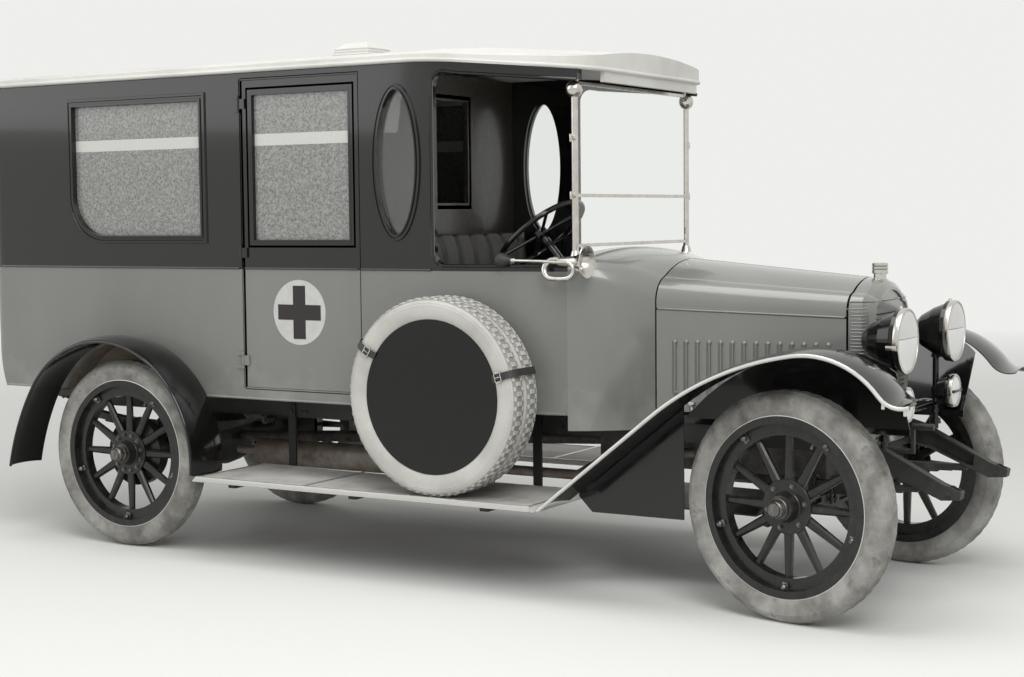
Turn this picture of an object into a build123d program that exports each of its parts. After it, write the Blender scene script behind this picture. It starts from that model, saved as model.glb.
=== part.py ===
from build123d import *
import math
import os

# Motor ambulance. X runs forward, Y to the left, Z up, in millimetres.
# The origin is on the ground, in the middle of the vehicle's outline.

# Driving dimensions of the chassis
FRONT_AXLE_X = 1860
WHEELBASE = 3330
REAR_AXLE_X = FRONT_AXLE_X - WHEELBASE
TRACK_HALF = 660
HALF_WIDTH = 850
AXLE_Z = 440
TYRE_R = 440
TYRE_HALF = 60
RIM_R = 341
STEER_REST = -10
KINGPIN_Y = 575

# Driving dimensions of the body
BODY_HALF = 643
BODY_REAR = -2392
BODY_BOTTOM = 722
SILL_Z = 1333
WALL = 40
CORNER_R = 90
CAB_TAPER_X = 240
SCUTTLE_X = 850
SCUTTLE_HALF = 575
EAVE_Z = 2188
DROOP_X = 245
DROOP_DEG = 5.33
DROOP_RUN = 145
BONNET_REAR_X = 1140
BONNET_FRONT_X = 1930
RADIATOR_FRONT_X = 2020
ARCH_R = 540
GAP = 6

DROOP = math.radians(DROOP_DEG)


def block(x, y, z):
    """A box between two values on each axis."""
    size = (x[1] - x[0], y[1] - y[0], z[1] - z[0])
    return Pos(sum(x) / 2, sum(y) / 2, sum(z) / 2) * Box(*size)


def rod(start, end, radius):
    """A round bar between two points."""
    start = Vector(*start)
    run = Vector(*end) - start
    return Plane(origin=start, z_dir=run) * Cylinder(
        radius, run.length, align=(Align.CENTER, Align.CENTER, Align.MIN)
    )


def side_face(points, y):
    """A flat face at one Y, from corners given as x, z."""
    return make_face(Polyline(*[(x, y, z) for x, z in points], close=True))


def side_prism(points, y_low, y_high):
    """Corners given as x, z, carried from one Y to another."""
    return extrude(side_face(points, y_low), y_high - y_low, dir=(0, 1, 0))


def front_prism(points, x_low, x_high):
    """Corners given as y, z, carried from one X to another."""
    face = make_face(Polyline(*[(x_low, y, z) for y, z in points], close=True))
    return extrude(face, x_high - x_low, dir=(1, 0, 0))


def plan_prism(points, z_low, z_high):
    """Corners given as x, y, carried from one Z to another."""
    face = make_face(Polyline(*[(x, y, z_low) for x, y in points], close=True))
    return extrude(face, z_high - z_low, dir=(0, 0, 1))


def left_of(shape):
    """The same piece on the left side."""
    return mirror(shape, about=Plane.XZ)


def turned(points):
    """Corners given as radius, distance along Y, turned about the Y axis."""
    face = make_face(Polyline(*[(r, y, 0) for r, y in points], close=True))
    return revolve(face, Axis.Y, 360)


def turned_along_x(points):
    """Corners given as distance along X, radius, turned about the X axis."""
    face = make_face(Polyline(*[(x, r, 0) for x, r in points], close=True))
    return revolve(face, Axis.X, 360)


def joined(pieces):
    """One shape from a list of pieces."""
    whole = pieces[0]
    for piece in pieces[1:]:
        whole = whole + piece
    return whole


PARTS = {}


def keep(name, shape):
    """Names a piece of the vehicle."""
    PARTS[name] = shape


# Wheels: twelve spokes between hub and felloe, a steel rim and a tyre.
# Along Y, a right wheel's outer side is towards minus Y.
SPOKES = 12
SPOKE_ROOT_R = 66
SPOKE_TIP_R = 274
SPOKE_ROOT = (40, 28)
SPOKE_TIP = (27, 26)
SPOKE_BEVEL = 7
FELLOE = (270, 318, 24)
RIM = (316, 340.8, 50)
RIM_LIP_R = 346
BORE_R = 20.1
SPINDLE_R = 20
CAP_R = 35
CAP_END = 112
DRUM_R = 160
DRUM = (26, 76)
FRONT_HUB = {"flange_r": 85, "inner": 38}
REAR_HUB = {"flange_r": 100, "inner": 50}


def bevelled(width, depth):
    """A rectangle with its corners cut."""
    return chamfer(Rectangle(width, depth).vertices(), SPOKE_BEVEL)


def spoke():
    """A spoke along plus X."""
    root = Plane(origin=(SPOKE_ROOT_R, 0, 0), x_dir=(0, 0, 1), z_dir=(1, 0, 0))
    tip = Plane(origin=(SPOKE_TIP_R, 0, 0), x_dir=(0, 0, 1), z_dir=(1, 0, 0))
    return loft([root * bevelled(*SPOKE_ROOT), tip * bevelled(*SPOKE_TIP)], ruled=True)


def wheel(hub, drum):
    """A wheel about the Y axis, with its outer side towards minus Y."""
    inner_r, outer_r, half = FELLOE
    felloe = turned([(inner_r, -half), (outer_r, -half), (outer_r, half), (inner_r, half)])
    low, seat, rim_half = RIM
    rim = turned([
        (low, -rim_half), (RIM_LIP_R, -rim_half), (RIM_LIP_R, 4 - rim_half), (seat, 4 - rim_half),
        (seat, rim_half - 4), (RIM_LIP_R, rim_half - 4), (RIM_LIP_R, rim_half), (low, rim_half),
    ])
    barrel = turned([
        (BORE_R, hub["inner"]), (48, hub["inner"]), (52, 15), (hub["flange_r"], 15),
        (hub["flange_r"], -15), (58, -19), (48, -62), (CAP_R, -66), (CAP_R, -98), (27, -CAP_END),
        (0, -CAP_END), (0, -78), (BORE_R, -78),
    ])
    arms = [Rot(0, 360 * n / SPOKES, 0) * spoke() for n in range(SPOKES)]
    whole = joined([felloe, rim, barrel] + arms)
    if drum:
        near, far = DRUM
        whole = whole + turned([
            (96, 14), (DRUM_R, near), (DRUM_R, far), (DRUM_R - 9, far), (DRUM_R - 9, near + 8),
            (52, near + 8), (52, 14),
        ])
    return whole


def tyre(outer_r, half, seat_r):
    """A tyre about the Y axis."""
    side = [
        (seat_r, 0.68 * half), (seat_r + 0.3 * (outer_r - seat_r), 0.95 * half),
        (seat_r + 0.6 * (outer_r - seat_r), half), (seat_r + 0.88 * (outer_r - seat_r), 0.72 * half),
        (outer_r, 0.36 * half),
    ]
    return turned(side + [(r, -y) for r, y in reversed(side)])


def wheel_place(x, y, angle):
    """Where a wheel sits: the left ones are turned about, so their outer side faces left."""
    return Location((x, y, AXLE_Z), (0, 0, angle))


def steered_point(side, x, y):
    """A point given from the kingpin with the wheels straight, at the rest lock."""
    a = math.radians(STEER_REST)
    return (
        FRONT_AXLE_X + x * math.cos(a) - y * math.sin(a),
        side * KINGPIN_Y + x * math.sin(a) + y * math.cos(a),
    )


SIDES = {"right": -1, "left": 1}
for name, side in SIDES.items():
    about = 0 if side < 0 else 180
    front_x, front_y = steered_point(side, 0, side * (TRACK_HALF - KINGPIN_Y))
    front_place = wheel_place(front_x, front_y, STEER_REST + about)
    rear_place = wheel_place(REAR_AXLE_X, side * TRACK_HALF, about)
    keep(f"front_wheel_{name}", front_place * wheel(FRONT_HUB, drum=False))
    keep(f"rear_wheel_{name}", rear_place * wheel(REAR_HUB, drum=True))
    keep(f"front_tyre_{name}", front_place * tyre(TYRE_R, TYRE_HALF, RIM_R))
    keep(f"rear_tyre_{name}", rear_place * tyre(TYRE_R, TYRE_HALF, RIM_R))

# Front axle: a forged beam with spring seats and an upright boss at each end
BEAM_HALF_X = 24
SPRING_Y = 325
SEAT_Z = 446
BOSS_R = 24
BOSS_Z = (393, 487)
PIN_R = 11
PIN_CLEARANCE = 0.1
BEAM = [(-552, 412), (-552, 468), (-410, 446), (-240, SEAT_Z), (240, SEAT_Z), (410, 446), (552, 468),
        (552, 412), (400, 388), (-400, 388)]
POCKETS = [(-530, -420, 424, 443), (-225, 225, 402, 432), (420, 530, 424, 443)]
beam = front_prism(BEAM, FRONT_AXLE_X - BEAM_HALF_X, FRONT_AXLE_X + BEAM_HALF_X)
for y_low, y_high, z_low, z_high in POCKETS:
    for x in (FRONT_AXLE_X - BEAM_HALF_X, FRONT_AXLE_X + BEAM_HALF_X - 16):
        beam = beam - block((x, x + 16), (y_low, y_high), (z_low, z_high))
for side in SIDES.values():
    boss = rod((FRONT_AXLE_X, side * KINGPIN_Y, BOSS_Z[0]), (FRONT_AXLE_X, side * KINGPIN_Y, BOSS_Z[1]), BOSS_R)
    hole = rod((FRONT_AXLE_X, side * KINGPIN_Y, 300), (FRONT_AXLE_X, side * KINGPIN_Y, 600), PIN_R + PIN_CLEARANCE)
    beam = beam + boss - hole
keep("front_axle", beam)

# Steering knuckles: a fork round the boss, its kingpin, the spindle and an arm to the rear
LUG_R = 26
UPPER_LUG = (492, 517)
LOWER_LUG = (363, 388)
ARM_LENGTH = 150
ARM_Z = (365, 387)
BALL_R = 8
TIE_ROD_Z = 347
TIE_EYE = (337, 357)
TIE_EYE_R = 20


def knuckle(side):
    """A knuckle about the origin of its kingpin, with the wheel straight."""
    upper = rod((0, 0, UPPER_LUG[0]), (0, 0, UPPER_LUG[1]), LUG_R)
    lower = rod((0, 0, LOWER_LUG[0]), (0, 0, LOWER_LUG[1]), LUG_R)
    pin = rod((0, 0, LOWER_LUG[0]), (0, 0, UPPER_LUG[1]), PIN_R)
    webs = []
    for z in (LOWER_LUG, UPPER_LUG):
        webs.append(block((-22, 22), (0, 42) if side > 0 else (-42, 0), z))
    web = block((-22, 22), (30, 42) if side > 0 else (-42, -30), (LOWER_LUG[0], UPPER_LUG[1]))
    spindle = rod((0, side * 36, AXLE_Z), (0, side * 158, AXLE_Z), SPINDLE_R)
    arm = block((-ARM_LENGTH, 0), (-14, 14), ARM_Z)
    eye = rod((-ARM_LENGTH, 0, ARM_Z[0]), (-ARM_LENGTH, 0, ARM_Z[1]), 19)
    ball = rod((-ARM_LENGTH, 0, TIE_EYE[0] - 5), (-ARM_LENGTH, 0, ARM_Z[0]), BALL_R)
    return joined([upper, lower, pin, web] + webs + [spindle, arm, eye, ball])


for name, side in SIDES.items():
    place = Location((FRONT_AXLE_X, side * KINGPIN_Y, 0), (0, 0, STEER_REST))
    keep(f"knuckle_{name}", place * knuckle(side))

# Tie rod: its right eye is wide of the pin, because that end closes the linkage
tie_right = steered_point(-1, -ARM_LENGTH, 0)
tie_left = steered_point(1, -ARM_LENGTH, 0)
tie_rod = rod((*tie_right, TIE_ROD_Z), (*tie_left, TIE_ROD_Z), 11)
for (x, y), bore in ((tie_right, BALL_R + 5), (tie_left, BALL_R + PIN_CLEARANCE)):
    tie_rod = tie_rod + rod((x, y, TIE_EYE[0]), (x, y, TIE_EYE[1]), TIE_EYE_R)
    tie_rod = tie_rod - rod((x, y, TIE_EYE[0] - 9), (x, y, TIE_EYE[1] + 9), bore)
keep("tie_rod", tie_rod)

# Frame rails: pressed channels, open towards the middle, that curve down to the front spring eyes
RAIL_Y = (300, 350)
RAIL_T = 6
RAIL_REAR = -2290
FRONT_EYE = (2360, 480)
RAIL_TOP = [(RAIL_REAR, 722), (1830, 722), (2060, 655), (2335, 514), (2408, 488)]
RAIL_BOTTOM = [(2402, 458), (2330, 452), (2080, 560), (1780, 612), (-2060, 612), (RAIL_REAR, 650)]
POCKET = [(RAIL_REAR + 6, 716), (1829, 716), (2057, 649), (2270, 540), (2268, 490), (2081, 567), (1781, 618),
          (-2059, 618), (RAIL_REAR + 6, 655)]
outline = side_face(RAIL_TOP + RAIL_BOTTOM, RAIL_Y[0])
rail = extrude(outline, RAIL_Y[1] - RAIL_Y[0], dir=(0, 1, 0))
rail = rail - side_prism(POCKET, RAIL_Y[0] - 1, RAIL_Y[1] - RAIL_T)
rail = rail - block((2225, 2400), (306, 344), (440, 505))
rail = rail + rod((FRONT_EYE[0], 300, FRONT_EYE[1]), (FRONT_EYE[0], 306, FRONT_EYE[1]), 26)
rail = rail + rod((FRONT_EYE[0], 344, FRONT_EYE[1]), (FRONT_EYE[0], 350, FRONT_EYE[1]), 26)
hangers = [
    block((1312, 1344), (300, 307), (540, 612)),
    block((1312, 1344), (343, 350), (540, 612)),
]
rail = joined([rail] + hangers)

# Springs: curved leaves, each shorter than the one above it
SPRINGS = {
    "front": {"x": FRONT_AXLE_X, "y": SPRING_Y, "seat": SEAT_Z, "half": 500, "leaves": 7, "thick": 7, "width": 36,
              "eye": FRONT_EYE[1]},
    "rear": {"x": REAR_AXLE_X, "y": 400, "seat": 486, "half": 620, "leaves": 9, "thick": 8, "width": 50, "eye": 600},
}


def leaf(half, rise, low, thick, share):
    """One leaf: a strip of a ring that is lowest in the middle."""
    radius = (half * half + rise * rise) / (2 * rise)
    reach = math.asin(half / radius) * share
    edge = []
    for r, sign in ((radius - low - thick, 1), (radius - low, -1)):
        ends = [(sign * r * math.sin(-reach), 0, radius - r * math.cos(reach)), (0, 0, radius - r),
                (sign * r * math.sin(reach), 0, radius - r * math.cos(reach))]
        edge.append(ends)
    top, bottom = edge
    return make_face([
        ThreePointArc(*top), Line(top[2], bottom[0]), ThreePointArc(*bottom), Line(bottom[2], top[0]),
    ])


def leaf_spring(spec):
    """A spring above its seat, with an eye at each end."""
    count, thick, width = spec["leaves"], spec["thick"], spec["width"]
    main_low = spec["seat"] + (count - 1) * thick
    eye_r = thick + 11
    rise = spec["eye"] + eye_r - thick - main_low
    pieces = []
    for n in range(count):
        share = 1 - 0.86 * n / count
        strip = leaf(spec["half"], rise, -n * thick, thick, share)
        pieces.append(extrude(strip, width, dir=(0, 1, 0)))
    whole = Pos(0, -width / 2, main_low) * joined(pieces)
    for x in (-spec["half"], spec["half"]):
        eye = rod((x, -width / 2, spec["eye"]), (x, width / 2, spec["eye"]), eye_r)
        whole = whole + eye
    whole = whole + block((-45, 45), (-width / 2 - 6, width / 2 + 6), (spec["seat"], spec["seat"] + 8))
    return Pos(spec["x"], spec["y"], 0) * whole


front_spring = leaf_spring(SPRINGS["front"])
rear_spring = leaf_spring(SPRINGS["rear"])
springs = [front_spring, left_of(front_spring), rear_spring, left_of(rear_spring)]
keep("springs", Compound(children=springs))
keep("frame_rails", rail + left_of(rail))

# Crossmembers between the rails, and the starting handle on the front one
# x from, x to, half width, z from, z to
CROSSMEMBERS = [(1950, 1995, 300, 575, 600), (690, 740, 344, 625, 700), (240, 290, 344, 625, 700),
                (-700, -650, 344, 625, 700), (-2230, -2170, 344, 655, 700)]
members = [block((x0, x1), (-half, half), (z0, z1)) for x0, x1, half, z0, z1 in CROSSMEMBERS]

# Towing eye: a plate behind the last crossmember, with a hole across it
TOW_X = -2330
TOW_Z = 670
TOW_R = 15.5
TOW_Y = (-12, 12)
eye_plate = block((TOW_X, -2225), TOW_Y, (645, 695))
eye_plate = eye_plate + rod((TOW_X, TOW_Y[0], TOW_Z), (TOW_X, TOW_Y[1], TOW_Z), 30)
eye_plate = eye_plate - rod((TOW_X, -50, TOW_Z), (TOW_X, 50, TOW_Z), TOW_R)
members[-1] = members[-1] + eye_plate

# Starting handle, in the front crossmember
CRANK_Z = 583
GRIP_Z = 684
CRANK_X = 2105
crank = rod((1960, 0, CRANK_Z), (CRANK_X + 12, 0, CRANK_Z), 11)
crank = crank + block((CRANK_X, CRANK_X + 12), (-12, 12), (CRANK_Z, GRIP_Z))
crank = crank + rod((CRANK_X, 0, GRIP_Z), (CRANK_X + 90, 0, GRIP_Z), 14)
members[0] = members[0] + crank
keep("crossmembers", Compound(children=members))

# Rear axle: a banjo housing, tapered tubes, and backing plates behind the brake drums
axle_profile = [(0, -730), (SPINDLE_R, -730), (SPINDLE_R, -602), (32, -600), (32, -571), (150, -571), (150, -565),
                (40, -560), (46, -300), (60, -160), (130, -80), (140, 0)]
full_profile = axle_profile + [(r, -y) for r, y in reversed(axle_profile[:-1])]
rear_axle = Pos(REAR_AXLE_X, 0, AXLE_Z) * turned(full_profile)
for side in SIDES.values():
    low, high = sorted((side * 370, side * 430))
    rear_axle = rear_axle + block((REAR_AXLE_X - 45, REAR_AXLE_X + 45), (low, high), (445, SPRINGS["rear"]["seat"]))
keep("rear_axle", rear_axle)

# Gearbox and propeller shaft
GEARBOX = [(1110, 470), (1110, 690), (960, 690), (760, 640), (760, 500)]
GEARBOX_HALF = 120
SHAFT_FRONT = (780, 0, 560)
SHAFT_REAR = (REAR_AXLE_X + 142, 0, 452)
SHAFT_R = 27
keep("transmission", side_prism(GEARBOX, -GEARBOX_HALF, GEARBOX_HALF) + rod(SHAFT_FRONT, SHAFT_REAR, SHAFT_R))

# Engine: one plain block at its place, with its sump cut back at the rear
ENGINE_X = (1170, 1800)
ENGINE_Y = (-150, 150)
ENGINE_Z = (430, 1080)
SUMP_X = 1300
SUMP_Z = 470
engine = block(ENGINE_X, ENGINE_Y, ENGINE_Z) - block((ENGINE_X[0], SUMP_X), ENGINE_Y, (ENGINE_Z[0], SUMP_Z))
keep("engine_block", engine)

# Undertray below the engine
TRAY_LOW = [(870, 470), (950, 330), (1560, 320), (1640, 420)]
TRAY_HIGH = [(1634, 424), (1556, 326), (954, 336), (875, 474)]
TRAY_HALF = 299
keep("undertray", side_prism(TRAY_LOW + TRAY_HIGH, -TRAY_HALF, TRAY_HALF))

# Exhaust: pipe along the right rail, a silencer and its tail pipe
EXHAUST_Y = -215
PIPE_PATH = [(1400, 565), (860, 512), (700, 420), (-300, 420)]
PIPE_R = 22
SILENCER_REAR = (-1040, EXHAUST_Y, 420)
SILENCER_R = 62
TAIL_PIPE_END = (-1180, EXHAUST_Y, 420)
TAIL_PIPE_R = 20
corners = [(x, EXHAUST_Y, z) for x, z in PIPE_PATH]
exhaust = [rod(start, end, PIPE_R) for start, end in zip(corners, corners[1:])]
exhaust += [Pos(*corner) * Sphere(PIPE_R) for corner in corners[1:-1]]
exhaust += [rod(corners[-1], SILENCER_REAR, SILENCER_R), rod(SILENCER_REAR, TAIL_PIPE_END, TAIL_PIPE_R)]
keep("exhaust", joined(exhaust))


# Hood shapes: bonnet, scuttle and radiator shell share one kind of cross-section
def hood_face(x, half, low, side, shoulder_y, shoulder_z, top):
    """A cross-section at one X: upright sides, round shoulders and a low crown."""
    right = TangentArc((x, -half, side), (x, -shoulder_y, shoulder_z), tangent=(0, 0, 1))
    left = TangentArc((x, half, side), (x, shoulder_y, shoulder_z), tangent=(0, 0, 1))
    crown = ThreePointArc((x, -shoulder_y, shoulder_z), (x, 0, top), (x, shoulder_y, shoulder_z))
    base = Polyline((x, -half, side), (x, -half, low), (x, half, low), (x, half, side))
    return make_face([base, right, crown, left])


def hood_shell(stations, low, wall):
    """A sheet shell through stations of half, side, shoulder_y, shoulder_z and top, open below."""
    outer = [hood_face(x, h, low, s, sy, sz, t) for x, h, s, sy, sz, t in stations]
    inner = []
    for n, (x, h, s, sy, sz, t) in enumerate(stations):
        reach = -1 if n == 0 else (1 if n == len(stations) - 1 else 0)
        inner.append(hood_face(x + reach, h - wall, low - 5, s, sy - 0.5 * wall, sz - wall, t - wall))
    return loft(outer, ruled=True) - loft(inner, ruled=True)


# x, half, side, shoulder_y, shoulder_z, top
REAR_STATION = (BONNET_REAR_X, 356, 1180, 272, 1284, 1352)
FRONT_STATION = (BONNET_FRONT_X, 266, 1150, 196, 1228, 1280)
SCUTTLE_STATIONS = [
    (SCUTTLE_X, 575, 1290, 500, 1370, 1403),
    (1010, 481, 1245, 400, 1340, 1384),
    REAR_STATION,
]
SCUTTLE_LOW = 660
SHEET = 4
scuttle = hood_shell(SCUTTLE_STATIONS, SCUTTLE_LOW, SHEET)
HINGE_R = 5
rear_top, front_top = REAR_STATION[-1], FRONT_STATION[-1]
hinge_rod = rod((BONNET_REAR_X - 2, 0, rear_top - HINGE_R), (BONNET_FRONT_X - 0.5, 0, front_top - HINGE_R), HINGE_R)
keep("scuttle", scuttle + hinge_rod)

# Bonnet: two top leaves hinged on the centre rod, two side leaves hinged below them, with louvres
BONNET_SHEET = 4
BONNET_LOW = 736
CENTRE_GAP = 14.5
FOLD_R = 4
FOLD_GAP = (5, 3)
SIDE_HINGE = ((BONNET_REAR_X, 1156), (BONNET_FRONT_X, 1130))
LOUVRES = 14
LOUVRE_X = (1220, 1850)
LOUVRE_Z = (812, 1022)
bonnet = hood_shell([REAR_STATION, FRONT_STATION], BONNET_LOW, BONNET_SHEET)
bonnet = bonnet & block((BONNET_REAR_X + GAP, BONNET_FRONT_X - GAP), (-600, 600), (BONNET_LOW, 1500))
(hinge_x0, hinge_z0), (hinge_x1, hinge_z1) = SIDE_HINGE
gap_below, gap_above = FOLD_GAP
above = side_prism([(hinge_x0, hinge_z0 + gap_above), (hinge_x1, hinge_z1 + gap_above), (hinge_x1, 1600),
                    (hinge_x0, 1600)], -600, -CENTRE_GAP)
below = side_prism([(hinge_x0, hinge_z0 - gap_below), (hinge_x1, hinge_z1 - gap_below), (hinge_x1, 600),
                    (hinge_x0, 600)], -600, -150)
fold_rod = rod((hinge_x0, -REAR_STATION[1], hinge_z0), (hinge_x1, -FRONT_STATION[1], hinge_z1), FOLD_R)
fold_rod = fold_rod & block((BONNET_REAR_X + 2 * GAP, BONNET_FRONT_X - 2 * GAP), (-600, 0), (1000, 1300))
top_leaf = (bonnet & above) + fold_rod
side_leaf = bonnet & below
taper = (REAR_STATION[1] - FRONT_STATION[1]) / (BONNET_FRONT_X - BONNET_REAR_X)
for n in range(LOUVRES):
    x = LOUVRE_X[0] + (LOUVRE_X[1] - LOUVRE_X[0]) * n / (LOUVRES - 1)
    y = -REAR_STATION[1] + taper * (x - BONNET_REAR_X)
    side_leaf = side_leaf + plan_prism([(x - 10, y + 1 - 10 * taper), (x + 12, y + 1 + 12 * taper),
                                        (x + 10, y - 9), (x + 6, y - 10)], *LOUVRE_Z)
keep("bonnet_top_right", top_leaf)
keep("bonnet_top_left", left_of(top_leaf))
keep("bonnet_side_right", side_leaf)
keep("bonnet_side_left", left_of(side_leaf))

# Radiator: a shell with rounded front corners, a filler cap, and a core with level slats
SHELL_LOW = 600
SHELL_WALL = 12
radiator_rear = (BONNET_FRONT_X, 258, 1150, 190, 1226, 1280)
radiator_mid = (BONNET_FRONT_X + 50, 252, 1148, 186, 1222, 1276)
radiator_round = (BONNET_FRONT_X + 76, 232, 1142, 172, 1208, 1262)
radiator_face = (RADIATOR_FRONT_X, 204, 1134, 152, 1190, 1242)
stations = [radiator_rear, radiator_mid, radiator_round, radiator_face]
SHELL_TOP = 1300
CHIN = [(BONNET_FRONT_X, SHELL_LOW), (1990, SHELL_LOW), (RADIATOR_FRONT_X, 640), (RADIATOR_FRONT_X, SHELL_TOP),
        (BONNET_FRONT_X, SHELL_TOP)]
FILLER = {"x": 1969, "neck_r": 24, "neck": (1262, 1318), "cap_r": 31, "cap": (1296, 1335)}


def radiator_opening(x, room):
    """The shell's opening at one X, drawn in by some room all round."""
    half, side, shoulder_y, shoulder_z, top = radiator_face[1:]
    wall = SHELL_WALL + room
    return hood_face(x, half - wall, SHELL_LOW + 46 + room, side, shoulder_y - 8 - room, shoulder_z - wall, top - wall)


shell = loft([hood_face(x, h, SHELL_LOW, s, sy, sz, t) for x, h, s, sy, sz, t in stations], ruled=True)
shell = shell - extrude(radiator_opening(RADIATOR_FRONT_X + 1, 0), RADIATOR_FRONT_X + 2 - BONNET_FRONT_X, dir=(-1, 0, 0))
shell = shell & side_prism(CHIN, -300, 300)
neck, cap = [rod((FILLER["x"], 0, FILLER[part][0]), (FILLER["x"], 0, FILLER[part][1]), FILLER[part + "_r"])
             for part in ("neck", "cap")]
below_neck = rod((FILLER["x"], 0, 1200), (FILLER["x"], 0, FILLER["neck"][0] + 6), FILLER["neck_r"] - 1)
keep("radiator_shell", shell + neck + cap - below_neck)

# Radiator core, with level slats
SLATS = 26
SLAT_Z = (650, 1140)
SLAT_DEPTH = 14
CORE_X = (1950, 2012)
CORE_ROOM = 0.5
slat_profile = [(CORE_X[0], SLAT_Z[0])]
step = (SLAT_Z[1] - SLAT_Z[0]) / SLATS
for n in range(SLATS):
    z = SLAT_Z[0] + n * step
    slat_profile += [(CORE_X[1], z), (CORE_X[1], z + 0.55 * step), (CORE_X[1] - SLAT_DEPTH, z + step)]
slat_profile += [(CORE_X[1], SLAT_Z[1] + 1), (CORE_X[1], SHELL_TOP), (CORE_X[0], SHELL_TOP)]
core = side_prism(slat_profile, -radiator_face[1], radiator_face[1])
keep("radiator_core", core & extrude(radiator_opening(CORE_X[0] - 1, CORE_ROOM), 100, dir=(1, 0, 0)))

# Body shell: plan outline times side outline, hollowed by the wall thickness
droop_end = (DROOP_X + DROOP_RUN * math.cos(DROOP), EAVE_Z - DROOP_RUN * math.sin(DROOP))


def eave(x):
    """Height of the straight front part of the eave line."""
    return droop_end[1] - (x - droop_end[0]) * math.tan(DROOP)


def plan_face(z, inset, front_x, front_half):
    """The body's plan at one Z: round rear corners and a cab that narrows forwards."""
    half = BODY_HALF - inset
    rear = BODY_REAR + inset
    r = CORNER_R - inset
    k = r * (1 - math.sqrt(0.5))
    mid_x = (CAB_TAPER_X + SCUTTLE_X) / 2
    mid_half = 624 - inset
    front = SCUTTLE_HALF - inset
    edges = [
        Line((rear, -(half - r), z), (rear, half - r, z)),
        ThreePointArc((rear, half - r, z), (rear + k, half - k, z), (rear + r, half, z)),
        Line((rear + r, half, z), (CAB_TAPER_X, half, z)),
        ThreePointArc((CAB_TAPER_X, half, z), (mid_x, mid_half, z), (SCUTTLE_X, front, z)),
        Polyline((SCUTTLE_X, front, z), (front_x, front_half, z), (front_x, -front_half, z), (SCUTTLE_X, -front, z)),
        ThreePointArc((SCUTTLE_X, -front, z), (mid_x, -mid_half, z), (CAB_TAPER_X, -half, z)),
        Line((CAB_TAPER_X, -half, z), (rear + r, -half, z)),
        ThreePointArc((rear + r, -half, z), (rear + k, -(half - k), z), (rear, -(half - r), z)),
    ]
    return make_face(edges)


def tail_face(inset):
    """The body's side outline at the right: a tail that tucks in below, and the eave line on top."""
    rear = BODY_REAR + inset
    y = -800
    edges = [
        Line((rear, y, EAVE_Z), (rear, y, 1290)),
        ThreePointArc((rear, y, 1290), (rear + 22, y, 975), (rear + 90, y, BODY_BOTTOM)),
        Line((rear + 90, y, BODY_BOTTOM), (960, y, BODY_BOTTOM)),
        Line((960, y, BODY_BOTTOM), (960, y, eave(960))),
        Line((960, y, eave(960)), (droop_end[0], y, droop_end[1])),
        TangentArc((DROOP_X - DROOP_RUN, y, EAVE_Z), (droop_end[0], y, droop_end[1]), tangent=(1, 0, 0)),
        Line((DROOP_X - DROOP_RUN, y, EAVE_Z), (rear, y, EAVE_Z)),
    ]
    return make_face(edges)


HEADER_X = 900
header_half = SCUTTLE_HALF - 0.14 * (HEADER_X - SCUTTLE_X)
outer = extrude(plan_face(BODY_BOTTOM - 5, 0, HEADER_X, header_half), 1500, dir=(0, 0, 1))
outer = outer & extrude(tail_face(0), 1600, dir=(0, 1, 0))
inner = extrude(plan_face(BODY_BOTTOM - 10, WALL, HEADER_X + 5, header_half - WALL), 1600, dir=(0, 0, 1))
inner_tail = [(BODY_REAR + WALL, 2300), (BODY_REAR + WALL, 1290), (BODY_REAR + WALL + 22, 975),
              (BODY_REAR + WALL + 90, 700), (1200, 700), (1200, 2300)]
inner = inner & side_prism(inner_tail, -800, 800)
whole_body = outer - inner
body = whole_body - block((SCUTTLE_X, 1000), (-700, 700), (700, 2060))

# Openings in the sides: doors, windows, the unglazed cab sides and the wheel arches
DOOR_X = (-786, -132)
DOOR_Z = (772, 2160)
DOOR_GLASS = (-713, -186, 1442, 2087)
REAR_WINDOW = (-1810, -1015, 1461, 2078)
REAR_WINDOW_R = 190
OVAL = {"x": 63, "z": 1770, "half_x": 102, "half_z": 310}
CAB_OPENING_X = 245
CAB_CORNER_R = 60
CAB_HEADER = 42
GLASS_Y = (-627, -621)


def rounded_window(x0, x1, z0, z1, y_low, y_high):
    """A window with its lower rear corner well rounded."""
    whole = block((x0, x1), (y_low, y_high), (z0, z1))
    corner = block((x0 - 1, x0 + REAR_WINDOW_R), (y_low, y_high), (z0 - 1, z0 + REAR_WINDOW_R))
    disc = rod((x0 + REAR_WINDOW_R, y_low, z0 + REAR_WINDOW_R), (x0 + REAR_WINDOW_R, y_high, z0 + REAR_WINDOW_R),
               REAR_WINDOW_R)
    return whole - (corner - disc)


def oval_window(y_low, y_high):
    """An upright oval."""
    face = Plane(origin=(OVAL["x"], y_low, OVAL["z"]), x_dir=(1, 0, 0), z_dir=(0, -1, 0)) * Ellipse(
        OVAL["half_x"], OVAL["half_z"]
    )
    return extrude(face, y_high - y_low, dir=(0, 1, 0))


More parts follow.
